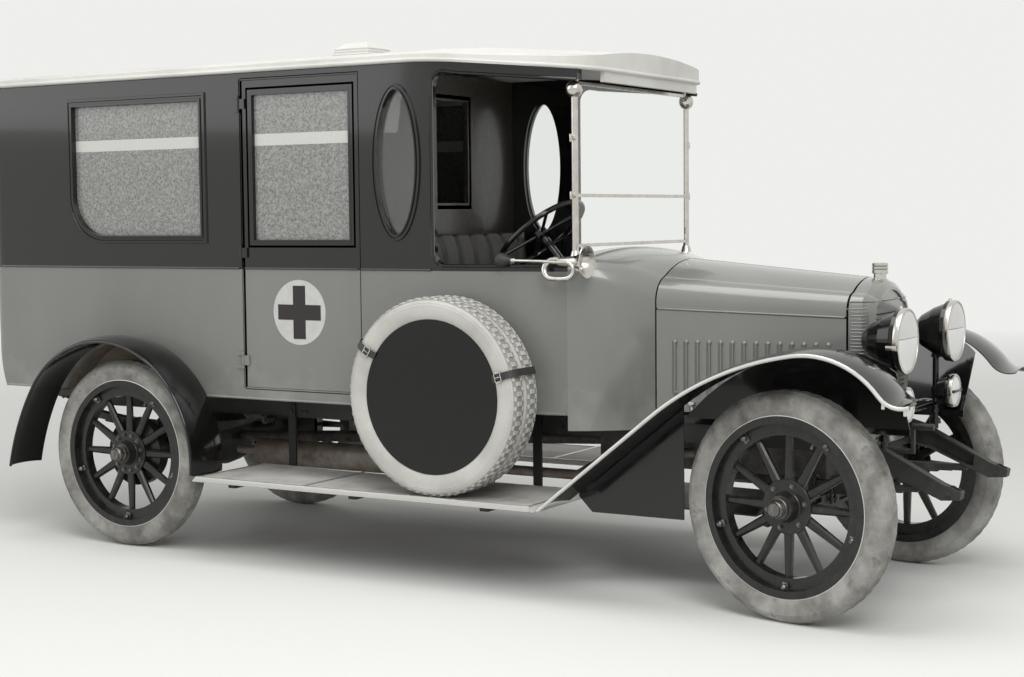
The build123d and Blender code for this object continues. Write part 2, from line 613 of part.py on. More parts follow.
opening_top = EAVE_Z - CAB_HEADER - 2
cab_cut = side_prism([(CAB_OPENING_X, SILL_Z), (1000, SILL_Z), (1000, eave(1000) - CAB_HEADER),
                      (droop_end[0], droop_end[1] - CAB_HEADER), (CAB_OPENING_X, opening_top)], -700, 0)
corner_x = CAB_OPENING_X + CAB_CORNER_R
for z_edge, z_centre in ((opening_top, opening_top - CAB_CORNER_R), (SILL_Z, SILL_Z + CAB_CORNER_R)):
    low_z, high_z = sorted((z_edge, z_centre))
    corner = block((CAB_OPENING_X, corner_x), (-700, 0), (low_z, high_z))
    cab_cut = cab_cut - (corner - rod((corner_x, -700, z_centre), (corner_x, 0, z_centre), CAB_CORNER_R))
arch = rod((REAR_AXLE_X, -700, AXLE_Z), (REAR_AXLE_X, -560, AXLE_Z), ARCH_R)
side_zone = block((BODY_REAR + CORNER_R + 20, 1000), (-700, 0), (700, 2300))
door_hole = block(DOOR_X, (-700, -500), DOOR_Z)
window_hole = rounded_window(*REAR_WINDOW, -700, -500)
wall = (body & side_zone) - door_hole - window_hole - oval_window(-700, -500) - cab_cut - arch

# Hinges: on each axis a barrel on the door, between two lugs on the wall, all on the right side
HINGE_BARREL = 22
HINGE_LUG = 15
HINGE_LEAF = 34
DOOR_HINGE = {"x": -783, "y": -651, "radius": 6.5, "wall_y": -640, "levels": (900, 1385, 2050), "door": 1}
CAB_HINGE = {"x": 803, "y": -597, "radius": 6.5, "wall_y": -575, "levels": (850, 1240), "door": -1}


def hinges(spec):
    """The door's half and the wall's half of a row of hinges."""
    x, y, radius = spec["x"], spec["y"], spec["radius"]
    halves = {"door": [], "wall": []}
    for level in spec["levels"]:
        spans = [("door", level - HINGE_BARREL, level + HINGE_BARREL)]
        for way in (-1, 1):
            ends = sorted((level + way * (HINGE_BARREL + 1), level + way * (HINGE_BARREL + 1 + HINGE_LUG)))
            spans.append(("wall", *ends))
        for half, low, high in spans:
            way = spec["door"] if half == "door" else -spec["door"]
            plate_x = sorted((x, x + way * HINGE_LEAF))
            plate = block(plate_x, (y - 1, spec["wall_y"]), (low, high))
            halves[half].append(rod((x, y, low), (x, y, high), radius) + plate)
    return halves


door_hinges = hinges(DOOR_HINGE)
cab_hinges = hinges(CAB_HINGE)
wall = joined([wall] + door_hinges["wall"])
keep("side_wall_right", wall)

# Left side: the same, with a half door to the cab
CAB_DOOR_X = (300, 806)
CAB_DOOR_Z = (765, SILL_Z)
cab_door_hole = block(CAB_DOOR_X, (500, 700), (CAB_DOOR_Z[0], CAB_DOOR_Z[1] + 100))
left_wall = left_of(wall)
keep("side_wall_left", joined([left_wall - cab_door_hole] + [left_of(half) for half in cab_hinges["wall"]]))
leaf_zone = block((CAB_DOOR_X[0] + GAP, CAB_DOOR_X[1] - GAP), (500, 700), (CAB_DOOR_Z[0] + GAP, SILL_Z))
keep("cab_door_left", joined([left_wall & leaf_zone] + [left_of(half) for half in cab_hinges["door"]]))

# Side doors, with their windows
door_zone = block((DOOR_X[0] + GAP, DOOR_X[1] - GAP - 2), (-700, -500), (DOOR_Z[0] + GAP, DOOR_Z[1] - GAP))
glass_hole = block(DOOR_GLASS[:2], (-700, -500), DOOR_GLASS[2:])
door = joined([(body & door_zone) - glass_hole] + door_hinges["door"])
pane = block(DOOR_GLASS[:2], GLASS_Y, DOOR_GLASS[2:])
keep("side_door_right", door)
keep("side_door_left", left_of(door))
keep("side_door_glass_right", pane)
keep("side_door_glass_left", left_of(pane))

# Fixed side windows
panes = rounded_window(*REAR_WINDOW, *GLASS_Y) + oval_window(*GLASS_Y)
keep("side_glass", panes + left_of(panes))

# Rear: corner posts and header round two doors, which are trimmed to swing clear of each other
REAR_OPENING_Y = 436
REAR_OPENING_Z = (830, 2085)
REAR_GLASS = (110, 350, 1440, 2010)
REAR_GLASS_X = (BODY_REAR + 15, BODY_REAR + 21)
REAR_HINGE_X = BODY_REAR - 8
rear_span = (BODY_REAR - 50, BODY_REAR + 180)
rear_zone = block((BODY_REAR - 50, BODY_REAR + CORNER_R + 20), (-700, 700), (700, 2300))
rear_hole = block(rear_span, (-REAR_OPENING_Y, REAR_OPENING_Y), REAR_OPENING_Z)
keep("rear_frame", (whole_body & rear_zone) - rear_hole)
swing = rod((REAR_HINGE_X, -REAR_OPENING_Y, 700), (REAR_HINGE_X, -REAR_OPENING_Y, 2300), REAR_OPENING_Y - 3)
rear_leaf_zone = block(rear_span, (GAP - REAR_OPENING_Y, 0), (REAR_OPENING_Z[0] + GAP, REAR_OPENING_Z[1] - GAP))
y0, y1, z0, z1 = REAR_GLASS
rear_leaf = (whole_body & rear_leaf_zone & swing) - block(rear_span, (-y1, -y0), (z0, z1))
rear_pane = block(REAR_GLASS_X, (-y1, -y0), (z0, z1))
keep("rear_door_right", rear_leaf)
keep("rear_door_left", left_of(rear_leaf))
keep("rear_door_glass_right", rear_pane)
keep("rear_door_glass_left", left_of(rear_pane))

# Floor with the wheelhouses over the rear wheels
FLOOR_Z = (722, 747)
FLOOR_HALF = BODY_HALF - WALL
WHEELHOUSE_Y = 485
WHEELHOUSE_WALL = 12
TOE_BOARD = ((840, 1134), (-340, 340))
FLOOR_RIGHT = [(-2235, -560), (-2180, -FLOOR_HALF), (CAB_TAPER_X, -FLOOR_HALF), (840, -530)]
floor = plan_prism(FLOOR_RIGHT + [(x, -y) for x, y in reversed(FLOOR_RIGHT)], *FLOOR_Z) + block(*TOE_BOARD, FLOOR_Z)
house_outer = rod((REAR_AXLE_X, -FLOOR_HALF, AXLE_Z), (REAR_AXLE_X, WHEELHOUSE_WALL - WHEELHOUSE_Y, AXLE_Z),
                  ARCH_R + WHEELHOUSE_WALL + 2)
house_inner = rod((REAR_AXLE_X, -FLOOR_HALF - 1, AXLE_Z), (REAR_AXLE_X, -WHEELHOUSE_Y, AXLE_Z), ARCH_R)
above_floor = block((-2400, 0), (-700, 0), (FLOOR_Z[0], 1100))
house = (house_outer & above_floor) - house_inner
floor = floor + house + left_of(house) - house_inner - left_of(house_inner)
keep("body_floor", floor)

# Roof: a cambered section swept along the eave line, trimmed to a plan with round corners
ROOF_HALF = 670
ROOF_EDGE = 32
ROOF_RIDGE = 97
ROOF_REAR = -2408
ROOF_FRONT = 966
ARCH_HALF = 520
ARCH_RISE = 50
front_end = (1000, 0, eave(1000))
path = Wire([
    Edge.make_line((ROOF_REAR - 8, 0, EAVE_Z), (DROOP_X - DROOP_RUN, 0, EAVE_Z)),
    Edge.make_tangent_arc((DROOP_X - DROOP_RUN, 0, EAVE_Z), (1, 0, 0), (droop_end[0], 0, droop_end[1])),
    Edge.make_line((droop_end[0], 0, droop_end[1]), front_end),
])


def roof_section(half, low, edge, ridge):
    """A flat-bottomed section with a cambered top, at the rear end of the path."""
    x = ROOF_REAR - 8
    z = EAVE_Z + low
    return make_face([
        Polyline((x, -half, z + edge), (x, -half, z), (x, half, z), (x, half, z + edge)),
        ThreePointArc((x, -half, z + edge), (x, 0, z + ridge), (x, half, z + edge)),
    ])


roof = sweep(roof_section(ROOF_HALF + 10, 0, ROOF_EDGE - 2, ROOF_RIDGE), path)
hollow = sweep(roof_section(ARCH_HALF, -30, 30.5, 30 + ARCH_RISE), path)
hollow = hollow & block((BODY_REAR + WALL, 905), (-600, 600), (1900, 2400))
PLAN_Z = 1900
REAR_R = 100
FRONT_R = 190
FRONT_HALF = 604
PLAN_MID = (560, 652)
k = REAR_R * (1 - math.sqrt(0.5))
q = FRONT_R * (1 - math.sqrt(0.5))
plan_edges = [Line((ROOF_REAR, REAR_R - ROOF_HALF, PLAN_Z), (ROOF_REAR, ROOF_HALF - REAR_R, PLAN_Z)),
              Line((ROOF_FRONT, FRONT_R - FRONT_HALF, PLAN_Z), (ROOF_FRONT, FRONT_HALF - FRONT_R, PLAN_Z))]
for s in (-1, 1):
    plan_edges += [
        ThreePointArc((ROOF_REAR, s * (ROOF_HALF - REAR_R), PLAN_Z), (ROOF_REAR + k, s * (ROOF_HALF - k), PLAN_Z),
                      (ROOF_REAR + REAR_R, s * ROOF_HALF, PLAN_Z)),
        Line((ROOF_REAR + REAR_R, s * ROOF_HALF, PLAN_Z), (CAB_TAPER_X, s * ROOF_HALF, PLAN_Z)),
        ThreePointArc((CAB_TAPER_X, s * ROOF_HALF, PLAN_Z), (PLAN_MID[0], s * PLAN_MID[1], PLAN_Z),
                      (ROOF_FRONT - FRONT_R, s * FRONT_HALF, PLAN_Z)),
        ThreePointArc((ROOF_FRONT - FRONT_R, s * FRONT_HALF, PLAN_Z), (ROOF_FRONT - q, s * (FRONT_HALF - q), PLAN_Z),
                      (ROOF_FRONT, s * (FRONT_HALF - FRONT_R), PLAN_Z)),
    ]
roof = (roof - hollow) & extrude(make_face(plan_edges), 600, dir=(0, 0, 1))
FASCIA_X = (938, 962)
FASCIA_LOW = 2080
FASCIA_HALF = 440
fascia = side_prism([(FASCIA_X[0], FASCIA_LOW), (FASCIA_X[1], FASCIA_LOW), (FASCIA_X[1], eave(FASCIA_X[1])),
                     (FASCIA_X[0], eave(FASCIA_X[0]))], -FASCIA_HALF, FASCIA_HALF)
keep("roof", roof + fascia)

# Roof ventilator: height, length and width of its base, shoulder and top
VENT_X = -562.5
VENT_LEVELS = [(2278, 215, 200), (2330, 190, 170), (2357, 110, 90)]
vent = loft([Pos(VENT_X, 0, z) * Rectangle(length, width) for z, length, width in VENT_LEVELS], ruled=True)
keep("roof_ventilator", vent - roof)

# Partition behind the cab, with its window
PARTITION_X = (-125, -100)
PARTITION_WINDOW = (-190, 190, 1600, 2070)
partition = block(PARTITION_X, (-FLOOR_HALF, FLOOR_HALF), (FLOOR_Z[1], EAVE_Z))
y0, y1, z0, z1 = PARTITION_WINDOW
partition = partition - block((-200, 0), (y0, y1), (z0, z1))
keep("partition", partition)

# Cab seat: a boxed base, a cushion and a back cushion
SEAT_LEVELS = (1000, 1120)
CUSHION_X = (90, 570)
CUSHION_HALF = 530
CUSHION_R = 25
SEAT_BACK = [(90, 1120), (40, 1500), (-20, 1500), (-40, 1400), (10, 1000), (90, 1000)]
keep("seat_base", block((90, 540), (-520, 520), (FLOOR_Z[1], SEAT_LEVELS[0])))
cushion = block(CUSHION_X, (-CUSHION_HALF, CUSHION_HALF), SEAT_LEVELS)
back = side_prism(SEAT_BACK, -CUSHION_HALF, CUSHION_HALF)
keep("front_seat", fillet(cushion.edges().filter_by(Axis.Y), CUSHION_R) + back)

# Bulkhead between engine and cab, and the instrument board
COLUMN_Y = -310
COLUMN_TILT = math.radians(50)
WHEEL_CENTRE = (580, COLUMN_Y, 1460)
DOWN = (math.cos(COLUMN_TILT), 0, -math.sin(COLUMN_TILT))
BULKHEAD_X = (1122, 1134)
BULKHEAD = [(-345, 747), (345, 747), (345, 1170), (255, 1270), (0, 1334), (-255, 1270), (-345, 1170)]
BOARD_FACE_X = (872, 884)
BOARD_FACE = [(-535, 1150), (535, 1150), (535, 1290), (420, 1355), (0, 1388), (-420, 1355), (-535, 1290)]
COLUMN_R = 19
COLUMN_HOLE_R = 26


def down_column(near, far):
    """Two points on the column's axis, by their distance below the wheel."""
    return [tuple(c + d * s for c, d in zip(WHEEL_CENTRE, DOWN)) for s in (near, far)]


bulkhead = front_prism(BULKHEAD, *BULKHEAD_X) - rod(*down_column(700, 960), COLUMN_HOLE_R)
keep("bulkhead", bulkhead + front_prism(BOARD_FACE, *BOARD_FACE_X))

# Steering column with its box, and the steering wheel
STEERING_BOX = ((1136, 1226), (-330, -285), (722, 830))
STEERING_STEM_R = 10
column = rod(*down_column(30, 880), COLUMN_R) + block(*STEERING_BOX)
keep("steering_column", column - rod(*down_column(0, 100), STEERING_STEM_R + 0.1))
wheel_plane = Plane(origin=WHEEL_CENTRE, x_dir=(0, 1, 0), z_dir=tuple(-c for c in DOWN))
WHEEL_R = 210
RIM_TUBE_R = 12
RIM_SIDES = 12
rim_points = []
for n in range(RIM_SIDES):
    a = 2 * math.pi * n / RIM_SIDES
    rim_points.append((WHEEL_R + RIM_TUBE_R * math.cos(a), 0, RIM_TUBE_R * math.sin(a)))
rim = revolve(make_face(Polyline(*rim_points, close=True)), Axis.Z, 360)
STEERING_HUB_R = 32
STEERING_SPOKES = 4
STEERING_SPOKE_R = 7
steering = Cylinder(STEERING_HUB_R, 26) + Pos(0, 0, -50) * Cylinder(STEERING_STEM_R, 90)
for n in range(STEERING_SPOKES):
    arm = rod((STEERING_HUB_R - 7, 0, 0), (WHEEL_R - 5, 0, 0), STEERING_SPOKE_R)
    steering = steering + Rot(0, 0, 45 + 360 * n / STEERING_SPOKES) * arm
keep("steering_wheel", wheel_plane.location * (steering + rim))

# Windscreen: two posts, three rails and its panes
SCREEN_X = 866
POST_Y = 530
POST_R = 14
POST_LOW = 1330
FINIAL_Z = 2050
FINIAL_R = 35
STAY_Y = 512
STAY_R = 9
RAILS_Z = (1416, 1620, 2075)
RAIL_HALF_Z = 7
RAIL_HALF_X = 8
PANE_HALF_X = 3
frame_pieces = []
for s in (-1, 1):
    frame_pieces += [
        rod((SCREEN_X, s * POST_Y, POST_LOW), (SCREEN_X, s * POST_Y, FINIAL_Z), POST_R),
        Pos(SCREEN_X, s * POST_Y, FINIAL_Z) * Sphere(FINIAL_R),
        rod((SCREEN_X, s * STAY_Y, FINIAL_Z), (SCREEN_X, s * STAY_Y, eave(SCREEN_X) + 6), STAY_R),
    ]
for z in RAILS_Z:
    frame_pieces.append(block((SCREEN_X - RAIL_HALF_X, SCREEN_X + RAIL_HALF_X), (-POST_Y, POST_Y),
                              (z - RAIL_HALF_Z, z + RAIL_HALF_Z)))
screen = joined(frame_pieces) - roof - scuttle
screen = screen & block((700, 1000), (-600, 600), (1376, 2200))
keep("windscreen_frame", screen)
panes = [block((SCREEN_X - PANE_HALF_X, SCREEN_X + PANE_HALF_X), (POST_R - POST_Y, POST_Y - POST_R),
               (low + RAIL_HALF_Z, high - RAIL_HALF_Z)) for low, high in zip(RAILS_Z, RAILS_Z[1:])]
keep("windscreen_glass", Compound(children=[pane - screen for pane in panes]))


# Fenders: a crowned strip carried along a side outline, with a turned-down lip
def fender_section(at, inner_y, outer_y, crown, thick, lip):
    """The strip's cross-section, at the start of its path and square to it."""
    mid_y = (inner_y + outer_y) / 2
    points = [(inner_y, 0), (outer_y, 0)]
    top = ThreePointArc((points[0][0], 0), (mid_y, crown), (points[1][0], 0))
    low = ThreePointArc((points[0][0], -thick), (mid_y, crown - thick), (points[1][0] - thick, -thick))
    edges = [top, Line((outer_y, 0), (outer_y, -lip)), Line((outer_y, -lip), (outer_y - thick, -lip)),
             Line((outer_y - thick, -lip), (outer_y - thick, -thick)), low, Line((inner_y, -thick), (inner_y, 0))]
    return at * make_face(edges)


def section_at(start, along, outward):
    """The plane square to a path at its start, with its Y axis outward."""
    plane = Plane(origin=start, x_dir=(0, 1, 0), z_dir=along)
    if plane.y_dir.dot(Vector(*outward)) < 0:
        plane = Plane(origin=start, x_dir=(0, 1, 0), z_dir=tuple(-c for c in along))
    return plane


FENDER_T = 4
FENDER_LIP = 14
REAR_FENDER_R = 545
REAR_FENDER_DEG = (-5.6, 147.5)
REAR_FENDER_TAIL = (REAR_AXLE_X - 612, 0, 360)
REAR_CROWN = 16


def arc_point(deg):
    """A point of the rear fender's arc."""
    a = math.radians(deg)
    return (REAR_AXLE_X + REAR_FENDER_R * math.cos(a), 0, AXLE_Z + REAR_FENDER_R * math.sin(a))


def arc_tangent(deg):
    """The arc's direction at an angle."""
    a = math.radians(deg)
    return (-math.sin(a), 0, math.cos(a))


start_deg, end_deg = REAR_FENDER_DEG
arc_start, arc_end = arc_point(start_deg), arc_point(end_deg)
rear_path = Wire([
    Edge.make_three_point_arc(arc_start, arc_point((start_deg + end_deg) / 2), arc_end),
    Edge.make_tangent_arc(arc_end, arc_tangent(end_deg), REAR_FENDER_TAIL),
])
section_plane = section_at(arc_start, arc_tangent(start_deg), (1, 0, 0))
rear_section = fender_section(section_plane, BODY_HALF, HALF_WIDTH, REAR_CROWN, FENDER_T, FENDER_LIP)
rear_fender = sweep(rear_section, rear_path)
keep("rear_fenders", rear_fender + left_of(rear_fender))

# Front fenders: a straight rise from the running board, then tangent arcs over the wheel to a tip
FRONT_START = (FRONT_AXLE_X - 1004, 0, 377)
RISE = Vector(517, 0, 416).normalized()
RISE_LENGTH = 640
FRONT_BEND = tuple(Vector(*FRONT_START) + RISE * RISE_LENGTH)
FRONT_TOP = (FRONT_AXLE_X + 63, 0, 1029)
FRONT_FALL = (FRONT_AXLE_X + 400, 0, 893)
FRONT_TIP = (FRONT_AXLE_X + 505, 0, 862)
FRONT_INNER_Y = 580
FRONT_CROWN = 14
rise_edge = Edge.make_line(FRONT_START, FRONT_BEND)
crest = Edge.make_tangent_arc(FRONT_BEND, tuple(RISE), FRONT_TOP)
fall = Edge.make_tangent_arc(FRONT_TOP, tuple(crest % 1), FRONT_FALL)
tip = Edge.make_tangent_arc(FRONT_FALL, tuple(fall % 1), FRONT_TIP)
front_path = Wire([rise_edge, crest, fall, tip])
section_plane = section_at(FRONT_START, tuple(RISE), (0, 0, 1))
front_section = fender_section(section_plane, FRONT_INNER_Y, HALF_WIDTH, FRONT_CROWN, FENDER_T, FENDER_LIP)
front_fender = sweep(front_section, front_path)

# Front aprons: a sheet that slopes from the frame rail up to the fender, and an upright one behind the wheel
APRON_T = 4
APRON_X = (FRONT_AXLE_X - 715, FRONT_AXLE_X + 350)
APRON_Y = (350, 588)
APRON_LOW = 680
REAR_APRON_X = (905, 1375)
REAR_APRON_LOW = 336
REAR_APRON_CUT = 60
under = make_face(
    rise_edge.edges() + crest.edges() + fall.edges()
    + Polyline(FRONT_FALL, (FRONT_FALL[0], 0, REAR_APRON_LOW), (FRONT_START[0], 0, REAR_APRON_LOW), FRONT_START).edges()
)
under_fender = extrude(under, 700, dir=(0, 1, 0))
apron = front_prism([(350, 690), (354, 690), (354, 714), (600, 1054), (596, 1056), (350, 718)], *APRON_X)
apron = apron & block(APRON_X, APRON_Y, (APRON_LOW, FRONT_TOP[2] + 100))
rear_apron = side_prism([(REAR_APRON_X[0], FRONT_TOP[2]), (REAR_APRON_X[0], REAR_APRON_LOW + REAR_APRON_CUT),
                         (REAR_APRON_X[0] + REAR_APRON_CUT, REAR_APRON_LOW), (REAR_APRON_X[1], REAR_APRON_LOW),
                         (REAR_APRON_X[1], FRONT_TOP[2])], FRONT_INNER_Y, FRONT_INNER_Y + APRON_T)
front_fender = front_fender + (apron & under_fender) + (rear_apron & under_fender)
keep("front_fenders", front_fender + left_of(front_fender))

# Running boards on brackets from the frame, with their ends cut back below the fenders' crowns
BOARD_X = (REAR_AXLE_X + 543, FRONT_START[0] - 9)
BOARD_Y = (376, HALF_WIDTH)
BOARD_Z = (363, 385)
BOARD_BEVEL = 18
BRACKET_X = (-760, -100, 560)
BRACKET_WIDTH = 40
BRACKET_LOW = 340
BRACKET_Y = (362, 800)
HANGER_Y = (350, 362)
HANGER_TOP = 700
board = side_prism([(BOARD_X[0], BOARD_Z[0]), (BOARD_X[1], BOARD_Z[0]), (BOARD_X[1], BOARD_Z[1] - BOARD_BEVEL),
                    (BOARD_X[1] - BOARD_BEVEL, BOARD_Z[1]), (BOARD_X[0] + BOARD_BEVEL, BOARD_Z[1]),
                    (BOARD_X[0], BOARD_Z[1] - BOARD_BEVEL)], *BOARD_Y)
for x in BRACKET_X:
    board = board + block((x, x + BRACKET_WIDTH), BRACKET_Y, (BRACKET_LOW, BOARD_Z[0]))
    board = board + block((x, x + BRACKET_WIDTH), HANGER_Y, (BRACKET_LOW, HANGER_TOP))
keep("running_boards", board + left_of(board))

# Spare wheels: two tyres side by side on the right running board, on a carrier with a disc and straps
SPARE_X = 350
SPARE_R = 415
SPARE_SEAT_R = 320
SPARE_Z = BOARD_Z[1] + SPARE_R
SPARE_Y = (-698, -800)
spares = [Pos(SPARE_X, y, SPARE_Z) * tyre(SPARE_R, 50, SPARE_SEAT_R) for y in SPARE_Y]
keep("spare_tyres", Compound(children=spares))
DRUM_T = 8
DRUM_SPAN = (-36, 137)
ARM_X = (SPARE_X - 25, SPARE_X + 25)
ARM_Y = (-829, -BODY_HALF)
ARM_LEVELS = (SPARE_Z - 120, SPARE_Z - 70)
drum_r = SPARE_SEAT_R - 0.2
near, far = DRUM_SPAN
disc = turned([(0, near), (drum_r, near), (drum_r, far), (SPARE_SEAT_R - DRUM_T, far),
               (SPARE_SEAT_R - DRUM_T, near + DRUM_T), (0, near + DRUM_T)])
keep("spare_carrier", Pos(SPARE_X, SPARE_Y[1], SPARE_Z) * disc + block(ARM_X, ARM_Y, ARM_LEVELS))

# Headlamps and side lamps on posts from the frame. Outlines give distance along X and radius
HEADLAMP = (2187, 316, 1049)
HEADLAMP_OUTLINE = [(0, 0), (0, 118), (-6, 125), (-34, 125), (-40, 116), (-90, 96), (-140, 66), (-172, 34), (-180, 0)]
SIDE_LAMP = (2189, 307, 803)
SIDE_LAMP_OUTLINE = [(0, 0), (0, 62), (-4, 68), (-24, 68), (-30, 58), (-70, 40), (-86, 0)]
LAMP_POST = {"x": 2100, "y": 325, "low": 640, "high": 945, "radius": 13}
LAMP_ARM_R = 12
LAMP_BAR = {"z": 745, "radius": 9}
post_x, post_y = LAMP_POST["x"], LAMP_POST["y"]
head = Pos(*HEADLAMP) * turned_along_x(HEADLAMP_OUTLINE)
keep("headlamps", head + left_of(head))
small = Pos(*SIDE_LAMP) * turned_along_x(SIDE_LAMP_OUTLINE)
post = rod((post_x, post_y, LAMP_POST["low"]), (post_x, post_y, LAMP_POST["high"]), LAMP_POST["radius"])
post = post - side_prism(RAIL_TOP + RAIL_BOTTOM, RAIL_Y[0] - 1, RAIL_Y[1] + 1)
arm = rod((post_x, 316, SIDE_LAMP[2]), (SIDE_LAMP[0] - 60, 312, SIDE_LAMP[2]), LAMP_ARM_R)
small = small + arm + post - head
bar = rod((post_x, -post_y, LAMP_BAR["z"]), (post_x, post_y, LAMP_BAR["z"]), LAMP_BAR["radius"])
keep("side_lamps", small + left_of(small) + bar)

# Horn on the right cab side: bell forwards, one long loop of tube, a rubber bulb and a bracket to the wall
HORN_Y = -628
HORN_Z = 1353
BELL_X = 972
BELL_OUTLINE = [(0, 0), (0, 68), (-5, 60), (-22, 38), (-50, 22), (-95, 13), (-130, 9), (-130, 0)]
LOOP = {"x": 850, "z": 1329, "centres": 57, "outer_r": 55, "inner_r": 38}
LOOP_DEPTH = 16
HORN_TUBE_X = (890, 620)
HORN_TUBE_R = 7
BULB = (590, HORN_Y, HORN_Z + 4)
BULB_R = 34
HORN_BRACKET = ((838, 850), (-622, -578), (1272, 1290))
bell = Pos(BELL_X, HORN_Y, HORN_Z) * turned_along_x(BELL_OUTLINE)
loop_plane = Plane(origin=(LOOP["x"], HORN_Y - LOOP_DEPTH / 2, LOOP["z"]), x_dir=(1, 0, 0), z_dir=(0, -1, 0))
slots = [SlotCenterToCenter(LOOP["centres"], 2 * LOOP[edge]) for edge in ("outer_r", "inner_r")]
loop = extrude(loop_plane * (slots[0] - slots[1]), LOOP_DEPTH, dir=(0, 1, 0))
tube = rod((HORN_TUBE_X[0], HORN_Y, HORN_Z), (HORN_TUBE_X[1], HORN_Y, BULB[2]), HORN_TUBE_R)
keep("horn", bell + loop + tube + Pos(*BULB) * Sphere(BULB_R) + block(*HORN_BRACKET))

# Writing the pieces
os.makedirs("parts", exist_ok=True)
for name, shape in PARTS.items():
    export_step(shape, f"parts/{name}.step")
    print(name, len(shape.solids()), round(shape.volume))
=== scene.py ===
# %% [markdown]
# # A motor ambulance, dressed in Blender
#
# This lesson takes the bare metal and wood of a 1920s motor ambulance and gives it its looks: paint,
# rubber, glass, leather, nickel and the many small fittings that a coachbuilder adds last. The construction
# comes ready made, as one object for each part, already in its place. Everything here is in metres, with +X
# forward, +Y to the vehicle's left and +Z up, so a new piece goes straight to where the real one sits.

# %% Load the construction
import math

import bmesh
import bpy
from mathutils import Matrix, Vector


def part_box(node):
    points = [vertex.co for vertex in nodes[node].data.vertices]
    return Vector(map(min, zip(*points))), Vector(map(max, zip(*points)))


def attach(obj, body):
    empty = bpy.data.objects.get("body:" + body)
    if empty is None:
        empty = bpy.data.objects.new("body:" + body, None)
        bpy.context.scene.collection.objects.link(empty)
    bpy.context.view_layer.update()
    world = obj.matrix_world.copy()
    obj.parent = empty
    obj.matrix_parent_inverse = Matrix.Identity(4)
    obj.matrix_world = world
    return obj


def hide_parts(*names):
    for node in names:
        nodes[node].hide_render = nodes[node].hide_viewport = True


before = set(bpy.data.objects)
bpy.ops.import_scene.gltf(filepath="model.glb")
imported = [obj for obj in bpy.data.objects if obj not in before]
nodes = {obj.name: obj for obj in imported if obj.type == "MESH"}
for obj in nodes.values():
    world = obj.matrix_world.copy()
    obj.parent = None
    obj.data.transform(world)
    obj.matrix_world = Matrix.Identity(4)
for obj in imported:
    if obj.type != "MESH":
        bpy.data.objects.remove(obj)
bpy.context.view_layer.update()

SIDES = {"right": -1, "left": 1}

# %% [markdown]
# ## Camera
#
# The photograph was taken a little ahead of the vehicle on its right, with the camera at the height of the
# windscreen's lower edge. A camera can be aimed with a Track To constraint, but a constraint keeps a hidden
# rule in the file. Here three directions are worked out from yaw, pitch and roll and written into the
# camera's matrix, which is easy to read and never drifts.

# %% The camera at the photograph's angle
CAMERA_PLACE = Vector((4.264, -6.742, 1.545))
CAMERA_YAW = math.radians(30.80)
CAMERA_PITCH = math.radians(4.09)
CAMERA_ROLL = math.radians(-0.56)
LENS_MM = 60.96
SENSOR_MM = 36


def aim(place, yaw, pitch, roll):
    """The matrix of a camera that looks along +Y at yaw 0, turned left by yaw and tipped down by pitch."""
    ahead = Vector((-math.sin(yaw) * math.cos(pitch), math.cos(yaw) * math.cos(pitch), -math.sin(pitch)))
    level = Vector((math.cos(yaw), math.sin(yaw), 0))
    above = level.cross(ahead)
    right = math.cos(roll) * level + math.sin(roll) * above
    up = -math.sin(roll) * level + math.cos(roll) * above
    turn = Matrix((right, up, -ahead)).transposed().to_4x4()
    return Matrix.Translation(place) @ turn


scene = bpy.context.scene
camera = bpy.data.objects.new("camera", bpy.data.cameras.new("camera"))
scene.collection.objects.link(camera)
camera.data.lens = LENS_MM
camera.data.sensor_width = SENSOR_MM
camera.matrix_world = aim(CAMERA_PLACE, CAMERA_YAW, CAMERA_PITCH, CAMERA_ROLL)
scene.camera = camera
scene.view_settings.view_transform = "Standard"
print("camera", round(CAMERA_PLACE.z, 3), "m above the ground, lens", LENS_MM, "mm")

# %% [markdown]
# ## Finishes: the tools
#
# A finish is a small network of nodes that ends in one Principled shader. Most of the finishes here need
# the same few things: the surface's own coordinates, a noise at some scale, a ramp that turns the noise
# into colours, and a bump. Writing each network out in full would hide what is special about it, so the
# common parts become short helpers. Numbers that are the same all over a surface are set on the shader
# itself.


